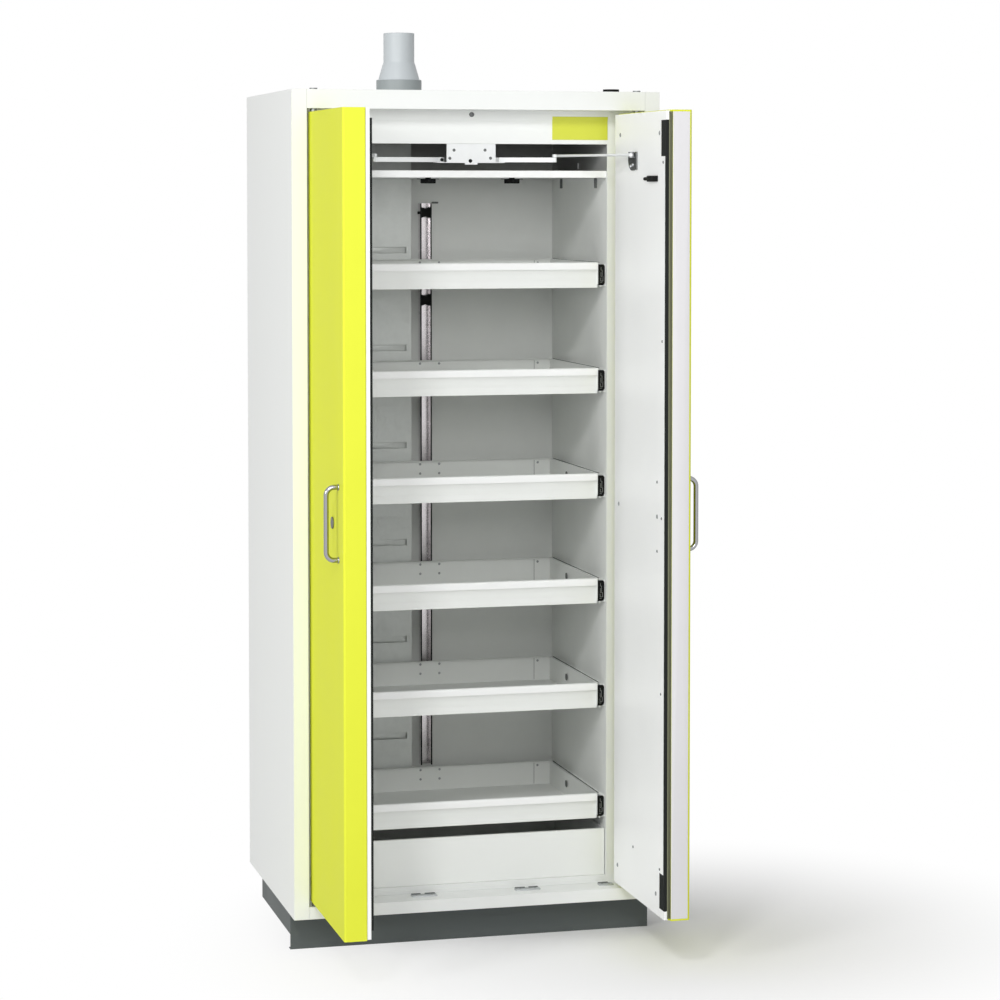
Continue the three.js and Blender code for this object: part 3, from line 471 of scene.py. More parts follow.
def lintel_depth(height):
    """Depth of the lintel's face at a height: constant, then a straight lean above the bend."""
    rise = np.clip((height - LINTEL_BEND) / (LINTEL_TOP - LINTEL_BEND), 0, 1)
    return LINTEL_FACE - LINTEL_LEAN * rise

def film_faces(rows, columns):
    """Faces of two layers of a grid: quads on the front, the same reversed on the back, and a band
    between the borders of both, which are walked once round."""
    row, column = np.meshgrid(np.arange(rows - 1), np.arange(columns - 1), indexing="ij")
    corner = (row * columns + column).ravel()
    layer = rows * columns
    front = np.stack([corner, corner + 1, corner + columns + 1, corner + columns], -1) + layer
    back = np.stack([corner, corner + columns, corner + columns + 1, corner + 1], -1)
    border = np.concatenate([np.arange(columns), np.arange(1, rows) * columns + columns - 1,
                             (rows - 1) * columns + np.arange(columns - 2, -1, -1),
                             np.arange(rows - 2, 0, -1) * columns])
    after = np.roll(border, -1)
    band = np.stack([border, after, after + layer, border + layer], -1)
    return np.vstack([front, back, band]).tolist()

plate_x, plate_z = np.meshgrid(np.linspace(*PLATE_SIDES, PLATE_COLUMNS),
                               np.linspace(*PLATE_LEVELS, PLATE_ROWS))
layers = [np.stack([plate_x, lintel_depth(plate_z) - proud, plate_z], -1).reshape(-1, 3)
          for proud in (FILM_BACK, FILM_FRONT)]
add_mesh("bare_plate", np.vstack(layers), film_faces(PLATE_ROWS, PLATE_COLUMNS), plate_film,
         "casing", "door_yellow")
print("plate on the lintel", PLATE_SIDES, PLATE_LEVELS)

# %% [markdown]
# A round bolt head sits in the middle of the lintel, on the leaning part of its face. It is the first
# of many screw heads, which all share one profile, because turned heads differ only in size.

# %% The lintel's bolt
LATCH_HEIGHT, LATCH_BOLT = 1915.5, (6.2, 3.0)
screws("latch_bolt", [(0, lintel_depth(LATCH_HEIGHT), LATCH_HEIGHT)], "-y", LATCH_BOLT, dull_steel,
       "casing", "pin_steel")
print("bolt at", LATCH_HEIGHT)

# %% [markdown]
# ## Under the ceiling tray
# Two black moulded holders hang from the tray: a stem, a thin flange, a block under it and two
# buttons on its face. Four grey pegs sit on the side walls close under the tray, and a bright pin
# rises at each end of it. They are few and small, so a stack of plain shells is enough.

# %% Tray holders
HOLDERS, HOLDER_Y = (-71.5, 131.5), -100
STEM, STEM_PROFILE = (6, 5, 2), [(0, 0), (0, 16.8)]
FLANGE, FLANGE_DROP, FLANGE_RISE = (25.5, 8, 2), 16.6, (1.2, 0.5)
BLOCK, BLOCK_DROP, BLOCK_RISE = (17.5, 6.5, 2), 17.6, (10, 1.5)
BUTTON, BUTTON_DROP, BUTTON_RISE = (3.4, 3, 1.4), 21, (0.6, 0.4)
BUTTON_SHIFTS, BUTTON_Y = (2, 10), HOLDER_Y - BLOCK[1]

holders = []
for middle in HOLDERS:
    holders.append(shell((middle, HOLDER_Y, TRAY_UNDER), "-z", STEM, STEM_PROFILE))
    holders.append(plate((middle, HOLDER_Y, TRAY_UNDER - FLANGE_DROP), "-z", FLANGE, FLANGE_RISE))
    holders.append(plate((middle, HOLDER_Y, TRAY_UNDER - BLOCK_DROP), "-z", BLOCK, BLOCK_RISE))
add_mesh("tray_holders", *merged(holders), black_plastic, "casing", "plastic_black")
buttons = [plate((middle + shift, BUTTON_Y, TRAY_UNDER - BUTTON_DROP), "-y", BUTTON, BUTTON_RISE)
           for middle in HOLDERS for shift in BUTTON_SHIFTS]
add_mesh("tray_holder_buttons", *merged(buttons), dark_grey_and_painted_shade, "casing", "plastic_black")
print("holders at", HOLDERS)

# %% Tray pegs and pins
PEG_X, PEG_DEPTHS, PEG_HEIGHT = 323.3, (-146, 152), 1758.7
PEG, PEG_PROFILE = (2.6, 3.4, 1.2), [(0, -11.5), (0, 11.5), (0.6, 12.1)]
PIN_X, PIN_Y, PIN_LIFT = 325, 8, 8
PIN, PIN_RISE = (1.8, 1.8, 1.8), (14, 1)

pegs = [shell((side * PEG_X, depth, PEG_HEIGHT), "-z", PEG, PEG_PROFILE)
        for side in SIDES for depth in PEG_DEPTHS]
add_mesh("tray_pegs", *merged(pegs), mid_grey, "casing", "plastic_black")
pins = [plate((side * PIN_X, PIN_Y, TRAY_UNDER + PIN_LIFT), "+z", PIN, PIN_RISE) for side in SIDES]
add_mesh("tray_pins", *merged(pins), bright_zinc, "casing", "steel_zinc")
print("pegs", len(pegs), "pins", len(pins))

# %% [markdown]
# ## On the sill
# Three zinc clips lie on the sill. Each is a low rounded plate with two small screws, and with one or
# two darker hooks at its rear edge. A thin lip runs across the chamber behind them. All could be flat
# boxes, but pressings have round corners and edges, so each is a shell.

# %% Sill clips
CLIP_Y, CLIP_HALF_DEPTH, CLIP_CORNER, CLIP_RISE = -257, 11, 4, (2.4, 1)
CLIPS = ((-119.5, 30), (128, 30), (318, 18))
HOOK_Y, HOOK_HALF_DEPTH, HOOK_CORNER, HOOK_LIFT, HOOK_RISE = -248, 2.6, 1, 2, (2.2, 0.8)
HOOKS = ((-137, 11), (-104, 12), (112, 12), (144, 11), (314, 12))
CLIP_SCREWS, CLIP_SCREW = ((-119.5, 18), (128, 18), (318, 8)), (3, 1.4)

clips = [plate((middle, CLIP_Y, SILL_TOP), "+z", (half, CLIP_HALF_DEPTH, CLIP_CORNER), CLIP_RISE)
         for middle, half in CLIPS]
add_mesh("sill_clips", *merged(clips), zinc_plate, "casing", "steel_zinc")
hooks = [plate((middle, HOOK_Y, SILL_TOP + HOOK_LIFT), "+z", (half, HOOK_HALF_DEPTH, HOOK_CORNER),
               HOOK_RISE) for middle, half in HOOKS]
add_mesh("sill_clip_hooks", *merged(hooks), mid_grey, "casing", "steel_zinc")
heads = [(middle + side * shift, CLIP_Y, SILL_TOP + CLIP_RISE[0])
         for middle, shift in CLIP_SCREWS for side in SIDES]
screws("sill_clip_screws", heads, "+z", CLIP_SCREW, turned_steel, "casing", "pin_steel")
print("clips", len(clips), "hooks", len(hooks), "screws", len(heads))

# %% Lip behind the sill
LIP_PLACE, LIP, LIP_RISE = (0, -232.4, 120), (325, 0.7, 0.5), (0.9, 0.3)
add_mesh("sill_lip", *plate(LIP_PLACE, "-y", LIP, LIP_RISE), lining_sheet, "casing", "casing_white")
print("lip", 2 * LIP[0], "long")

# %% [markdown]
# ## End caps on the slides
# The front of each telescopic slide has a black moulded cap, and on it the ends of the steel sections
# show as small pale strokes, with a little white runner below. All of them travel with the drawer. A
# black box would do from afar, but the strokes are what makes it read as a slide. The left cap is
# the right one mirrored: its reach is negative, and its outline is read backwards to face outwards.

# %% Slide caps
CAP_X, CAP_Y, CAP_DROP, CAP_RISE = 316.2, -220.3, 29, (2.6, 0.6)
CAP_REACH, CAP_HALF, CAP_SIDE_LOW, CAP_SIDE_HIGH = 7.8, 24.4, -19, 20
CAP_FOOT_SHARE, CAP_HEAD_SHARE = 0.45, 0.6

def cap_outline(reach):
    """Six corners: square towards the drawer, and with both corners cut off towards the wall."""
    return [(-reach, -CAP_HALF), (reach * CAP_FOOT_SHARE, -CAP_HALF), (reach, CAP_SIDE_LOW),
            (reach, CAP_SIDE_HIGH), (reach * CAP_HEAD_SHARE, CAP_HALF), (-reach, CAP_HALF)]

for row, top in DRAWER_ROWS:
    caps = [flat_piece(cap_outline(side * CAP_REACH)[::side], (side * CAP_X, CAP_Y, top - CAP_DROP),
                       "-y", CAP_RISE) for side in SIDES]
    add_mesh(f"slide_caps_{row}", *merged(caps), black_plastic, f"drawer_{row}", "plastic_black")
print("caps", len(SIDES) * len(DRAWER_ROWS))

# %% Section ends and runners
SECTION_Y, SECTION_CORNER, SECTION_RISE = -222.7, 0.3, (0.5, 0.2)
SECTIONS = (  # shift outwards, rise, half width and half height of each stroke on a cap
    (-1.6, 14.5, 0.4, 3.2), (-0.2, 11, 1.6, 0.4), (1.2, 4, 0.4, 7), (-1.8, 1, 0.4, 5),
    (-0.4, -4, 1.6, 0.4), (-2.4, -11, 0.4, 4), (0.6, -14.6, 2.6, 0.4), (3.2, -9, 0.4, 5.6),
    (-1.6, -18, 2.4, 0.4),
)
RUNNER_X, RUNNER_Y, RUNNER_DROP = 313, -221, 55.2
RUNNER, RUNNER_RISE = (1.9, 1.9, 1.8), (3, 1)

for row, top in DRAWER_ROWS:
    strokes = [plate((side * (CAP_X + shift), SECTION_Y, top - CAP_DROP + rise), "-y",
                     (half_a, half_b, SECTION_CORNER), SECTION_RISE)
               for side in SIDES for shift, rise, half_a, half_b in SECTIONS]
    add_mesh(f"slide_sections_{row}", *merged(strokes), section_grey, f"drawer_{row}", "steel_zinc")
    runners = [plate((side * RUNNER_X, RUNNER_Y, top - RUNNER_DROP), "-y", RUNNER, RUNNER_RISE)
               for side in SIDES]
    add_mesh(f"slide_runners_{row}", *merged(runners), white_coat, f"drawer_{row}", "drawer_white")
print("strokes on each cap", len(SECTIONS))

# %% [markdown]
# ## Rims and coves of the drawers
# The front of a drawer has a thick bright rim folded over its top, and just under it the light thins out
# softly. A sharp step would leave a hard line there, so a shallow cove lies under the rim. Both are outlines
# seen from the side, carried across the drawer's width. The cove's depth falls with the cube of what is left
# of its height: it is steep under the rim and meets the front without a line. The rim takes the lighter white
# of the door skins, a painted highlight where it catches the light.

# %% Drawer rims
FRONT_Y, BEHIND_Y, RIM_FACE = -212, -211.9, -220.3
RIM_DROP, RIM_LIFT, RIM_HALF = 18.0, 0.1, 308.4
RIM_OVER, RIM_UNDER = 4.0, 2.5

def rim_outline(top):
    """Along the top, a quarter circle over the edge, down, a smaller one under it, and back."""
    turn = np.linspace(0, np.pi / 2, 6)
    high, low = top + RIM_LIFT, top - RIM_DROP
    over = np.column_stack([RIM_FACE + RIM_OVER * (1 - np.sin(turn)), high - RIM_OVER * (1 - np.cos(turn))])
    under = np.column_stack([RIM_FACE + RIM_UNDER * (1 - np.cos(turn)),
                             low + RIM_UNDER * (1 - np.sin(turn))])
    return np.vstack([[(BEHIND_Y, high)], over, under, [(BEHIND_Y, low)]])

for row, top in DRAWER_ROWS:
    # Painted highlight: the rim takes the lighter white of the door skins.
    add_mesh(f"drawer_rim_{row}", *swept_across(rim_outline(top), RIM_HALF), door_liner,
             f"drawer_{row}", "drawer_white", crease=FIRM_CREASE)
print("rims", len(DRAWER_ROWS), "each", RIM_DROP, "high")

# %% Drawer coves
COVE_DEPTH, COVE_FALL, COVE_HALF = 5.5, 24.0, 308.2

def cove_outline(top):
    """In front, the depth times the cube of one minus the share fallen, and behind, straight up."""
    high, low = top - RIM_DROP, top - RIM_DROP - COVE_FALL
    fall = np.linspace(0, 1, 12)
    curve = np.column_stack([FRONT_Y - COVE_DEPTH * (1 - fall) ** 3, high - COVE_FALL * fall])
    return np.vstack([curve, [(BEHIND_Y, low), (BEHIND_Y, high)]])

for row, top in DRAWER_ROWS:
    add_mesh(f"drawer_cove_{row}", *swept_across(cove_outline(top), COVE_HALF), drawer_coat,
             f"drawer_{row}", "drawer_white", crease=FIRM_CREASE)
print("coves", COVE_DEPTH, "deep and", COVE_FALL, "high")

# %% [markdown]
# ## Shade lines, seam and rivets of the drawers
# Along each side wall's top the drawer ends in a dark line, painted shade where the gap to the wall lies in
# shadow. Its rear wall has an upright seam near the right and five rivets, and its right wall a rounded grey
# slot just behind the middle. These could be painted in the material, but as thin pieces they keep their
# relief.

# %% Drawer shade lines and trims
EDGE_X, EDGE_Y, EDGE_DROP = 313.6, -12, 0.2
EDGE, EDGE_RISE = (1.2, 200, 0.4), (0.7, 0.3)
SEAM_PLACE, SEAM_DROP = (267, 196.6), 30
SEAM, SEAM_RISE = (0.5, 26, 0.4), (0.4, 0.2)
RIVET_Y, RIVET = 196.5, (3, 1.2)
RIVETS = ((-23, 8), (-23, 31), (25, 8), (25, 31), (276, 10))
SLOT_PLACE, SLOT_DROP = (305.2, 36.7), 27
WALL_SLOT, SLOT_PROFILE = (9, 8, 7), [(0, 0), (0, 0.5)]

for row, top in DRAWER_ROWS:
    body = f"drawer_{row}"
    # Painted shadow: a dark line on top of each side wall, where the gap to the wall lies in shade.
    shade_lines = [plate((side * EDGE_X, EDGE_Y, top - EDGE_DROP), "+z", EDGE, EDGE_RISE) for side in SIDES]
    add_mesh(f"drawer_painted_shade_lines_{row}", *merged(shade_lines), dark_grey_and_painted_shade, body, "drawer_white")
    seam = plate((*SEAM_PLACE, top - SEAM_DROP), "-y", SEAM, SEAM_RISE)
    add_mesh(f"drawer_seam_{row}", *seam, mid_grey, body, "drawer_white")
    rivets = [(x, RIVET_Y, top - drop) for x, drop in RIVETS]
    screws(f"drawer_rivets_{row}", rivets, "-y", RIVET, turned_steel, body, "pin_steel")
    wall_slot = shell((*SLOT_PLACE, top - SLOT_DROP), "-x", WALL_SLOT, SLOT_PROFILE)
    add_mesh(f"drawer_wall_slot_{row}", *wall_slot, mid_grey, body, "plastic_black")
print("rivets in each drawer", len(RIVETS))

# %% [markdown]
# ## Bolts of the closer
# The plate behind the lintel is held by four small screws, with a larger dark bolt under them. One
# like it sits on the left lever and swings with it, so that one rides on the lever's body.

# %% Closer bolts
CLOSER_FACE, CLOSER_SCREW = -230.7, (3.6, 1.2)
CLOSER_SCREWS = ((-40.6, 1833.3), (32.9, 1833.6), (-50.5, 1814.7), (46, 1815))
CLOSER_BOLT_PLACE, CLOSER_BOLT = (-1.8, CLOSER_FACE, 1808.7), (4.4, 2.2)
LEVER_BOLT_PLACE, LEVER_BOLT = (-65, -213.2, 1811.5), (4.2, 2.4)

heads = [(x, CLOSER_FACE, height) for x, height in CLOSER_SCREWS]
screws("closer_plate_screws", heads, "-y", CLOSER_SCREW, mid_grey, "casing", "pin_steel")
screws("closer_plate_bolt", [CLOSER_BOLT_PLACE], "-y", CLOSER_BOLT, dark_grey_and_painted_shade, "casing", "pin_steel")
screws("lever_bolt", [LEVER_BOLT_PLACE], "-y", LEVER_BOLT, dark_grey_and_painted_shade, "left_lever", "pin_steel")
print("screws in the closer's plate", len(heads))

# %% [markdown]
# ## On the rear wall
# The rail is an open channel with dark edges, whose inner walls lie in shade: two dark strips along them are
# painted shade. A hook and a knob sit near its top, and a waisted block lower down. The waist is an outline
# with two corners drawn in, which a cube would lack. The duct beside the rail has six slots that look pale
# inside, so a plate of the same sheet lies behind each.

# %% Rail fittings
RAIL_X, RAIL_Y, RAIL_MIDDLE, RAIL_SIDE = -2.6, 218.9, 1015, 12.8
RAIL_EDGE, RAIL_EDGE_RISE = (1.7, 694.5, 0.6), (1.3, 0.5)
RAIL_HOOK_PLACE, RAIL_HOOK, RAIL_HOOK_RISE = (25, 241.8, 1711.5), (8, 2.2, 1.8), (6, 1)
KNOB_PLACE, KNOB, KNOB_RISE = (-16, 230, 1687), (3, 3.5, 2.5), (5, 1.5)
WAISTED_OUTLINE = [(-11, -14), (0, -10), (11, -14), (11, 14), (0, 10), (-11, 14)]
WAISTED_PLACE, WAISTED_RISE = (-2, 241, 1472), (20, 1)

# Painted shade: dark strips along the channel's inner walls.
rail_shade_strips = [plate((RAIL_X + side * RAIL_SIDE, RAIL_Y, RAIL_MIDDLE), "-y", RAIL_EDGE, RAIL_EDGE_RISE)
              for side in SIDES]
add_mesh("rail_painted_shade_strips", *merged(rail_shade_strips), dark_grey_and_painted_shade, "casing", "plastic_black")
rail_hook = plate(RAIL_HOOK_PLACE, "-y", RAIL_HOOK, RAIL_HOOK_RISE)
add_mesh("rail_hook", *rail_hook, mid_grey, "casing", "pin_steel")
knob = plate(KNOB_PLACE, "-x", KNOB, KNOB_RISE)
add_mesh("rail_knob", *knob, dark_grey_and_painted_shade, "casing", "plastic_black")
waisted_block = flat_piece(WAISTED_OUTLINE, WAISTED_PLACE, "-y", WAISTED_RISE)
add_mesh("rail_block_lower", *waisted_block, black_plastic, "casing", "plastic_black")
print("rail edges", 2 * RAIL_EDGE[1], "long")

# %% Plates behind the duct's slots
FIRST_SLOT, SLOT_PITCH, SLOTS = 398, 239.5, 6
DUCT_PLACE, DUCT_PLATE, DUCT_PLATE_RISE = (-130, 216.5), (80, 10, 1), (1, 0.3)

slot_heights = [FIRST_SLOT + SLOT_PITCH * row for row in range(SLOTS)]
duct_plates = [plate((*DUCT_PLACE, height), "-y", DUCT_PLATE, DUCT_PLATE_RISE) for height in slot_heights]
add_mesh("duct_slot_slides", *merged(duct_plates), galvanised_sheet, "casing", "lining_grey")
print("duct slots at", slot_heights)

# %% [markdown]
# ## Screws in the doors
# The inner skin of each door is held by small screws, most of them along its free edge, and by larger
# bolts near the corners and halfway up. Each place is a depth and a height on the inner face with the
# door open. The left door has the same ones mirrored, because doors are made as a pair.

# %% Door screws
DOOR_INNER = 331.1
FACES_IN, FACES_OUT = {"left": "+x", "right": "-x"}, {"left": "-x", "right": "+x"}
DOOR_BOLT, DOOR_SCREW = (5.2, 1.8), (3.4, 1.6)
DOOR_BOLTS = ((-322, 1868), (-618, 1867), (-315, 1016), (-607, 1017), (-310.5, 170), (-605, 171))
DOOR_SCREWS = ((-645, 1802), (-641, 1408), (-607, 1094), (-639, 1016), (-608, 940), (-637, 625),
               (-433, 239), (-632, 232))
DOOR_HEADS = (("screws", DOOR_SCREWS, DOOR_SCREW, dull_steel), ("bolts", DOOR_BOLTS, DOOR_BOLT, turned_steel))

for hand, side in HANDS:
    for kind, places, size, steel in DOOR_HEADS:
        heads = [(side * DOOR_INNER, depth, height) for depth, height in places]
        screws(f"{hand}_door_{kind}", heads, FACES_IN[hand], size, steel, f"{hand}_door", "pin_steel")
print("screws and bolts in each door", len(DOOR_SCREWS), len(DOOR_BOLTS))

# %% [markdown]
# ## Catch on the right door
# A black catch with a thinner nose sits near the top of the right door's inner face. Two cubes would
# miss the ends of the nose, which are nearly half round, so body and nose are a shell each.

# %% Catch
CATCH_HEIGHT = 1766.4
CATCH_Y, CATCH, CATCH_RISE = -575, (32, 6.6, 2), (6.5, 1.5)
NOSE_Y, NOSE, NOSE_RISE = -528, (17, 3.6, 3.4), (4.5, 2)
catch = [plate((DOOR_INNER, CATCH_Y, CATCH_HEIGHT), "-x", CATCH, CATCH_RISE),
         plate((DOOR_INNER, NOSE_Y, CATCH_HEIGHT), "-x", NOSE, NOSE_RISE)]
add_mesh("right_door_catch", *merged(catch), black_plastic, "right_door", "plastic_black")
print("catch at", CATCH_HEIGHT)

# %% [markdown]
# ## The free edge of the right door
# This edge faces the eye, and three things show on it: a light cover strip, an olive band in the rebate,
# which is painted shade where the edge lies in shadow, and the lip of the seal. Stripes in a material would
# be flat. Long thin shells step forward and back as the strips and the rebate do.

# %% Strips of the right door
STRIP_MIDDLE, STRIP_HALF = 1020, 893
COVER_PLACE, COVER, COVER_RISE = (365.8, -667.5), (19.4, STRIP_HALF, 1), (0.5, 0.2)
SEAL_LIP_PLACE, SEAL_LIP, SEAL_LIP_RISE = (334.4, -665.4), (3.2, 875, 0.4), (0.6, 0.2)
REBATE_SHADE_FACES = (  # place, facing, half width, corner and rise of each face of the painted rebate shade
    ((343, -659.4), "-y", 2.8, 0.5, (1.2, 0.4)),
    ((346, -663.8), "-x", 3.5, 0.2, (0.3, 0.1)),
    ((339, -665.4), "-y", 1.3, 0.2, (0.4, 0.1)),
)

cover = plate((*COVER_PLACE, STRIP_MIDDLE), "-y", COVER, COVER_RISE)
add_mesh("right_closing_strip", *cover, edge_cover, "right_door", "casing_white")
rebate_shade_faces = [plate((*place, STRIP_MIDDLE), facing, (half, STRIP_HALF, corner), rise)
            for place, facing, half, corner, rise in REBATE_SHADE_FACES]
# Painted shade: an olive band over the faces of the rebate.
add_mesh("right_swelling_strip", *merged(rebate_shade_faces), painted_rebate_shade, "right_door", "seal_black")
seal_lip = plate((*SEAL_LIP_PLACE, STRIP_MIDDLE), "-y", SEAL_LIP, SEAL_LIP_RISE)
add_mesh("right_seal_lip", *seal_lip, seal_rubber, "right_door", "seal_black")
print("strips", 2 * STRIP_HALF, "long")

# %% [markdown]
# ## Bracket feet of the closer
# Each closer rod ends on a bracket that is bolted to the door. The CAD bracket has a plain base with
# two lugs and a pin. The foot added here covers that base with a wider plate of the outline that
# shows, and with two bolts.

# %% Closer bracket feet
FOOT_OUTLINE = [(-11, -26), (11, -26), (31, -4), (31, 6), (-31, 6), (-31, -4), (-24, -18)]
FOOT_PLACE, FOOT_RISE = (-423, 1812), (3.4, 1)
FOOT_BOLTS, FOOT_BOLT = ((-431, 1798), (-415, 1795)), (5, 4)

for hand, side in HANDS:
    foot = flat_piece(FOOT_OUTLINE, (side * DOOR_INNER, *FOOT_PLACE), FACES_IN[hand], FOOT_RISE)
    add_mesh(f"{hand}_bracket_foot", *foot, dull_steel, f"{hand}_door", "chrome")
    heads = [(side * (DOOR_INNER - FOOT_RISE[0]), depth, height) for depth, height in FOOT_BOLTS]
    screws(f"{hand}_bracket_bolts", heads, FACES_IN[hand], FOOT_BOLT, turned_steel, f"{hand}_door",
           "pin_steel")
print("bracket feet", len(HANDS))

# %% [markdown]
# ## Door handles
# A handle is one bar with two bends and a round rosette at each foot. The CAD bar has coarser bends,
# so this one replaces it. Its line is worked out from the distance between the feet, the reach and
# the radius of the bend, and a circle is carried along it.

# %% Handles
DOOR_OUTER, HANDLE_Y, HANDLE_MIDDLE = 390.5, -617, 1023
REACH, HALF_RISE, BEND, BAR_RADIUS, FOOT_START = 27.8, 79, 18, 5.5, 0.2
BEND_STEPS, STRAIGHT_STEPS = 12, 14
ROSETTE, ROSETTE_RISE = (7, 7, 7), (2.3, 1)

def handle_line():
    """The bar as (out, level): out from the lower foot, a quarter circle, straight up, and the lower
    half mirrored to the upper foot."""
    quarter = np.linspace(0, np.pi / 2, BEND_STEPS)
    lower = [(REACH - BEND + BEND * math.sin(a), -HALF_RISE + BEND - BEND * math.cos(a)) for a in quarter]
    levels = np.linspace(-HALF_RISE + BEND, HALF_RISE - BEND, STRAIGHT_STEPS)[1:-1]
    straight = [(REACH, level) for level in levels]
    upper = [(out, -level) for out, level in reversed(lower)]
    return [(FOOT_START, -HALF_RISE)] + lower + straight + upper + [(FOOT_START, HALF_RISE)]

for hand, side in HANDS:
    path = [(side * (DOOR_OUTER + out), HANDLE_Y, HANDLE_MIDDLE + level) for out, level in handle_line()]
    rosettes = [plate((side * DOOR_OUTER, HANDLE_Y, HANDLE_MIDDLE + level), FACES_OUT[hand], ROSETTE,
                      ROSETTE_RISE) for level in (-HALF_RISE, HALF_RISE)]
    bar = add_mesh(f"{hand}_handle_bar", *merged([tube(path, BAR_RADIUS)] + rosettes), polished_steel,
                   f"{hand}_door", "chrome")
    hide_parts(f"{hand}_door_handle")
print("handles", 2 * HALF_RISE, "between the feet")

# %% [markdown]
# ## The exhaust spigot
# A reducer is moulded in one piece: a wide socket, a cone and a narrow spigot. It replaces the CAD piece,
# whose wall has 32 flats, by the same profile turned in fine steps. A thin band of darker grey over the
# socket is painted shade.

# %% Spigot
PIPE_FOOT = (-74, 200, 1968.3)
INNER, PIPE, SOCKET, PIPE_START, PIPE_END = 35, 37.5, 54.5, -71.3, 155
REDUCER_WALL = [(INNER, PIPE_START), (PIPE, PIPE_START), (PIPE, 0), (SOCKET, 0), (SOCKET, 41), (53.5, 42),
                (50, 42), (47.5, 52), (40.5, 76), (38.4, 82), (PIPE, 86), (PIPE, PIPE_END - 1),
                (36.5, PIPE_END), (INNER, PIPE_END)]
SHADE_BAND_WALL = [(54.4, 0.4), (55.1, 0.8), (55.1, 40.4), (54.4, 40.8)]

spigot = add_mesh("reducer", *turned(PIPE_FOOT, REDUCER_WALL), spigot_plastic, "casing", "spigot_grey",
                  crease=SOFT_CREASE)
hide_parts("exhaust_spigot")
# Painted shade: a darker grey band over the socket.
add_mesh("socket_painted_shade", *turned(PIPE_FOOT, SHADE_BAND_WALL), painted_socket_shade, "casing", "spigot_grey",
         crease=SOFT_CREASE)
print("spigot turned, pipe", 2 * PIPE, "socket", 2 * SOCKET)

# %% [markdown]
# ## Camera
# The camera stands where a fit to corners of the casing and the doors in the photograph puts it. It
# looks down by 2.8 degrees, and its vertical shift brings the whole cabinet into the frame.

# %% Camera
CAMERA_PLACE, TILT, BEARING = (-1.6228, -6.7427, 1.7295), 2.8, 14.56

camera_data = bpy.data.cameras.new("studio_camera")
camera_data.lens = 104.72
camera_data.sensor_width = 36
camera_data.shift_y = -0.1624
camera_data.clip_end = 60
camera = bpy.data.objects.new("studio_camera", camera_data)
camera.location = CAMERA_PLACE
camera.rotation_euler = (math.radians(90 - TILT), 0, math.radians(-BEARING))
scene.collection.objects.link(camera)
scene.camera = camera
print("camera at", CAMERA_PLACE)

# %% [markdown]
# ## Floor and background
# The studio is white, and a white world would light the object far too much. So the white is only for
# rays that show it: straight to the camera, in a mirror or through glass. Near the object the floor
# is plain lit paper, which keeps the shadow, and further away it turns to white.

# %% Rays that show the studio
def seen_straight(tree):
    """One for rays that show a thing to the eye, straight, in a mirror or through glass, else nought:
    the greatest of the three ray kinds."""
    path = add_node(tree, "ShaderNodeLightPath")
    share = path.outputs["Is Camera Ray"]
    for kind in ("Is Glossy Ray", "Is Transmission Ray"):
        most = add_node(tree, "ShaderNodeMath")
        most.operation = "MAXIMUM"
        tree.links.new(share, most.inputs[0])
        tree.links.new(path.outputs[kind], most.inputs[1])
        share = most.outputs["Value"]
    return share

# %% Studio paper
PAPER_WHITE = 0.93
OVAL_PLACE, OVAL_SCALE = (-0.35, 0.3, 0), (0.9, 1.0, 1.0)
WHITE_FROM, WHITE_TO = -0.1, 1.05

def far_share(tree):
    """A smooth step from nought to one over the distance from a point near the casing's front right
    corner, measured in an oval: the length of the place times a scale plus a shift."""
    place = add_node(tree, "ShaderNodeTexCoord")
    oval = add_node(tree, "ShaderNodeMapping", Location=OVAL_PLACE, Scale=OVAL_SCALE)
    length = add_node(tree, "ShaderNodeVectorMath")
    length.operation = "LENGTH"
    share = add_node(tree, "ShaderNodeMapRange", From_Min=WHITE_FROM, From_Max=WHITE_TO)
    share.interpolation_type = "SMOOTHSTEP"
    tree.links.new(place.outputs["Object"], oval.inputs["Vector"])
    tree.links.new(oval.outputs["Vector"], length.inputs[0])
    tree.links.new(length.outputs["Value"], share.inputs["Value"])
    return share.outputs["Result"]

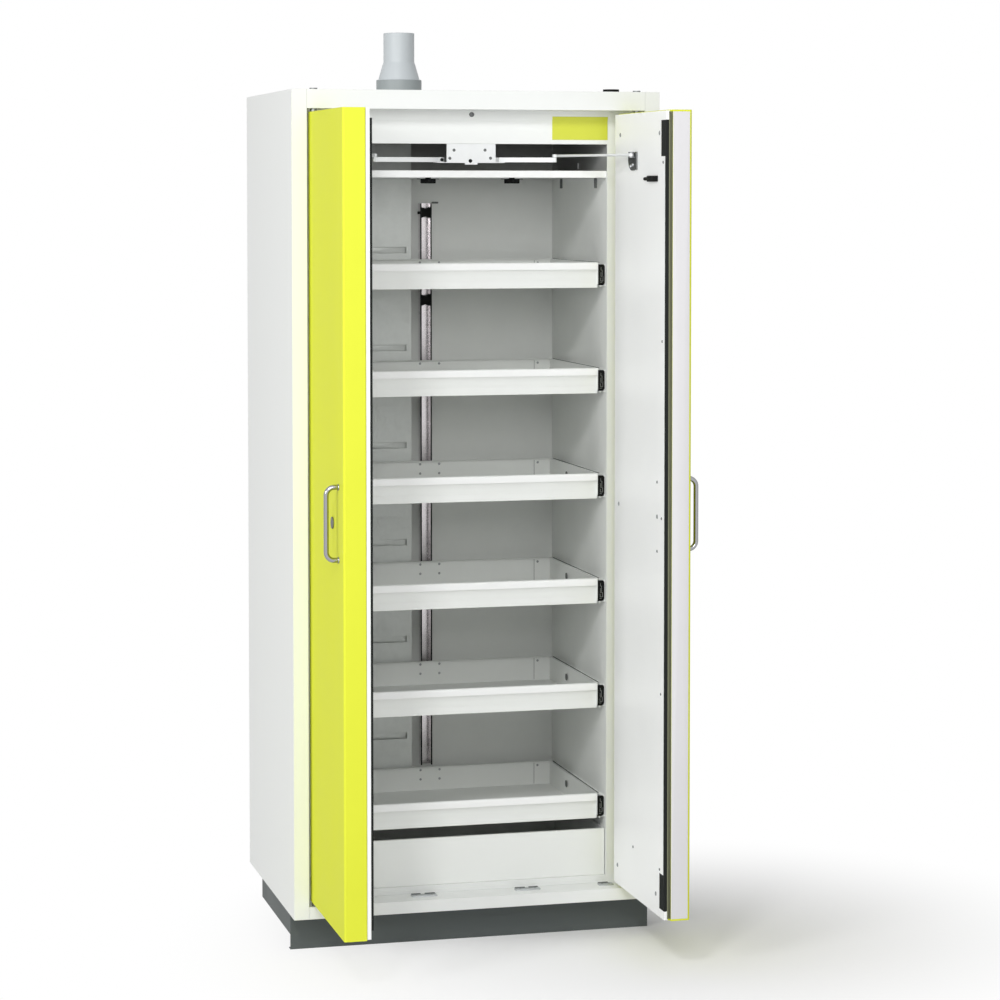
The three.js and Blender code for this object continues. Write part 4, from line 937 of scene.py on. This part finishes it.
def studio_paper():
    """Lit white paper, mixed with plain white by the far share times the rays that show the studio."""
    material = bpy.data.materials.new("studio_paper")
    material.use_nodes = True
    tree = material.node_tree
    paper = tree.nodes["Principled BSDF"]
    paper.inputs["Base Color"].default_value = (PAPER_WHITE, PAPER_WHITE, PAPER_WHITE, 1)
    paper.inputs["Roughness"].default_value = 1.0
    paper.inputs["Specular IOR Level"].default_value = 0.0
    white = add_node(tree, "ShaderNodeEmission")
    both = add_node(tree, "ShaderNodeMath")
    both.operation = "MULTIPLY"
    mixed = add_node(tree, "ShaderNodeMixShader")
    tree.links.new(far_share(tree), both.inputs[0])
    tree.links.new(seen_straight(tree), both.inputs[1])
    tree.links.new(both.outputs["Value"], mixed.inputs[0])
    tree.links.new(paper.outputs[0], mixed.inputs[1])
    tree.links.new(white.outputs[0], mixed.inputs[2])
    tree.links.new(mixed.outputs[0], tree.nodes["Material Output"].inputs["Surface"])
    return material

# %% Floor
FLOOR_HALF = 30
floor_corners = [(x * FLOOR_HALF, y * FLOOR_HALF, 0) for x, y in ((-1, -1), (1, -1), (1, 1), (-1, 1))]
floor_mesh = bpy.data.meshes.new("floor")
floor_mesh.from_pydata(floor_corners, [], [(0, 1, 2, 3)])
floor_mesh.materials.append(studio_paper())
floor = bpy.data.objects.new("floor", floor_mesh)
scene.collection.objects.link(floor)
print("floor", 2 * FLOOR_HALF, "metres square")

# %% [markdown]
# ## Light
# Three soft square lamps stand in front and to the left: a small high one that draws the shadows, a
# wide one far to the left for the sides that face it, and a weak one lower down that reaches into the
# chamber. Their strengths are set so that plain surfaces come out about as bright as in the
# photograph.

# %% Lamps
def lamp(name, place, target, size, watts):
    """A square soft lamp that looks from its place towards a target."""
    data = bpy.data.lights.new(name, "AREA")
    data.size = size
    data.energy = watts
    made = bpy.data.objects.new(name, data)
    made.location = place
    made.rotation_euler = (Vector(target) - Vector(place)).to_track_quat("-Z", "Y").to_euler()
    scene.collection.objects.link(made)

lamp("key_lamp", place=(-2.1, -4.2, 3.8), target=(0, 0, 1.1), size=0.7, watts=66)
lamp("side_lamp", place=(-5.4, -3.8, 3.0), target=(0, 0, 1.1), size=1.6, watts=135)
lamp("front_lamp", place=(-0.6, -3.8, 2.3), target=(0, 0, 1.3), size=1.2, watts=29)
print("lamps", len(bpy.data.lights))

# %% World
WORLD_STRENGTH = 0.38

world = bpy.data.worlds.new("studio_world")
world.use_nodes = True
scene.world = world
sky = world.node_tree
background = sky.nodes["Background"]
background.inputs["Color"].default_value = (1, 1, 1, 1)
strength = add_node(sky, "ShaderNodeMapRange", To_Min=WORLD_STRENGTH, To_Max=1.0)
sky.links.new(seen_straight(sky), strength.inputs["Value"])
sky.links.new(strength.outputs["Result"], background.inputs["Strength"])
scene.view_settings.view_transform = "Standard"
print("world at", WORLD_STRENGTH)
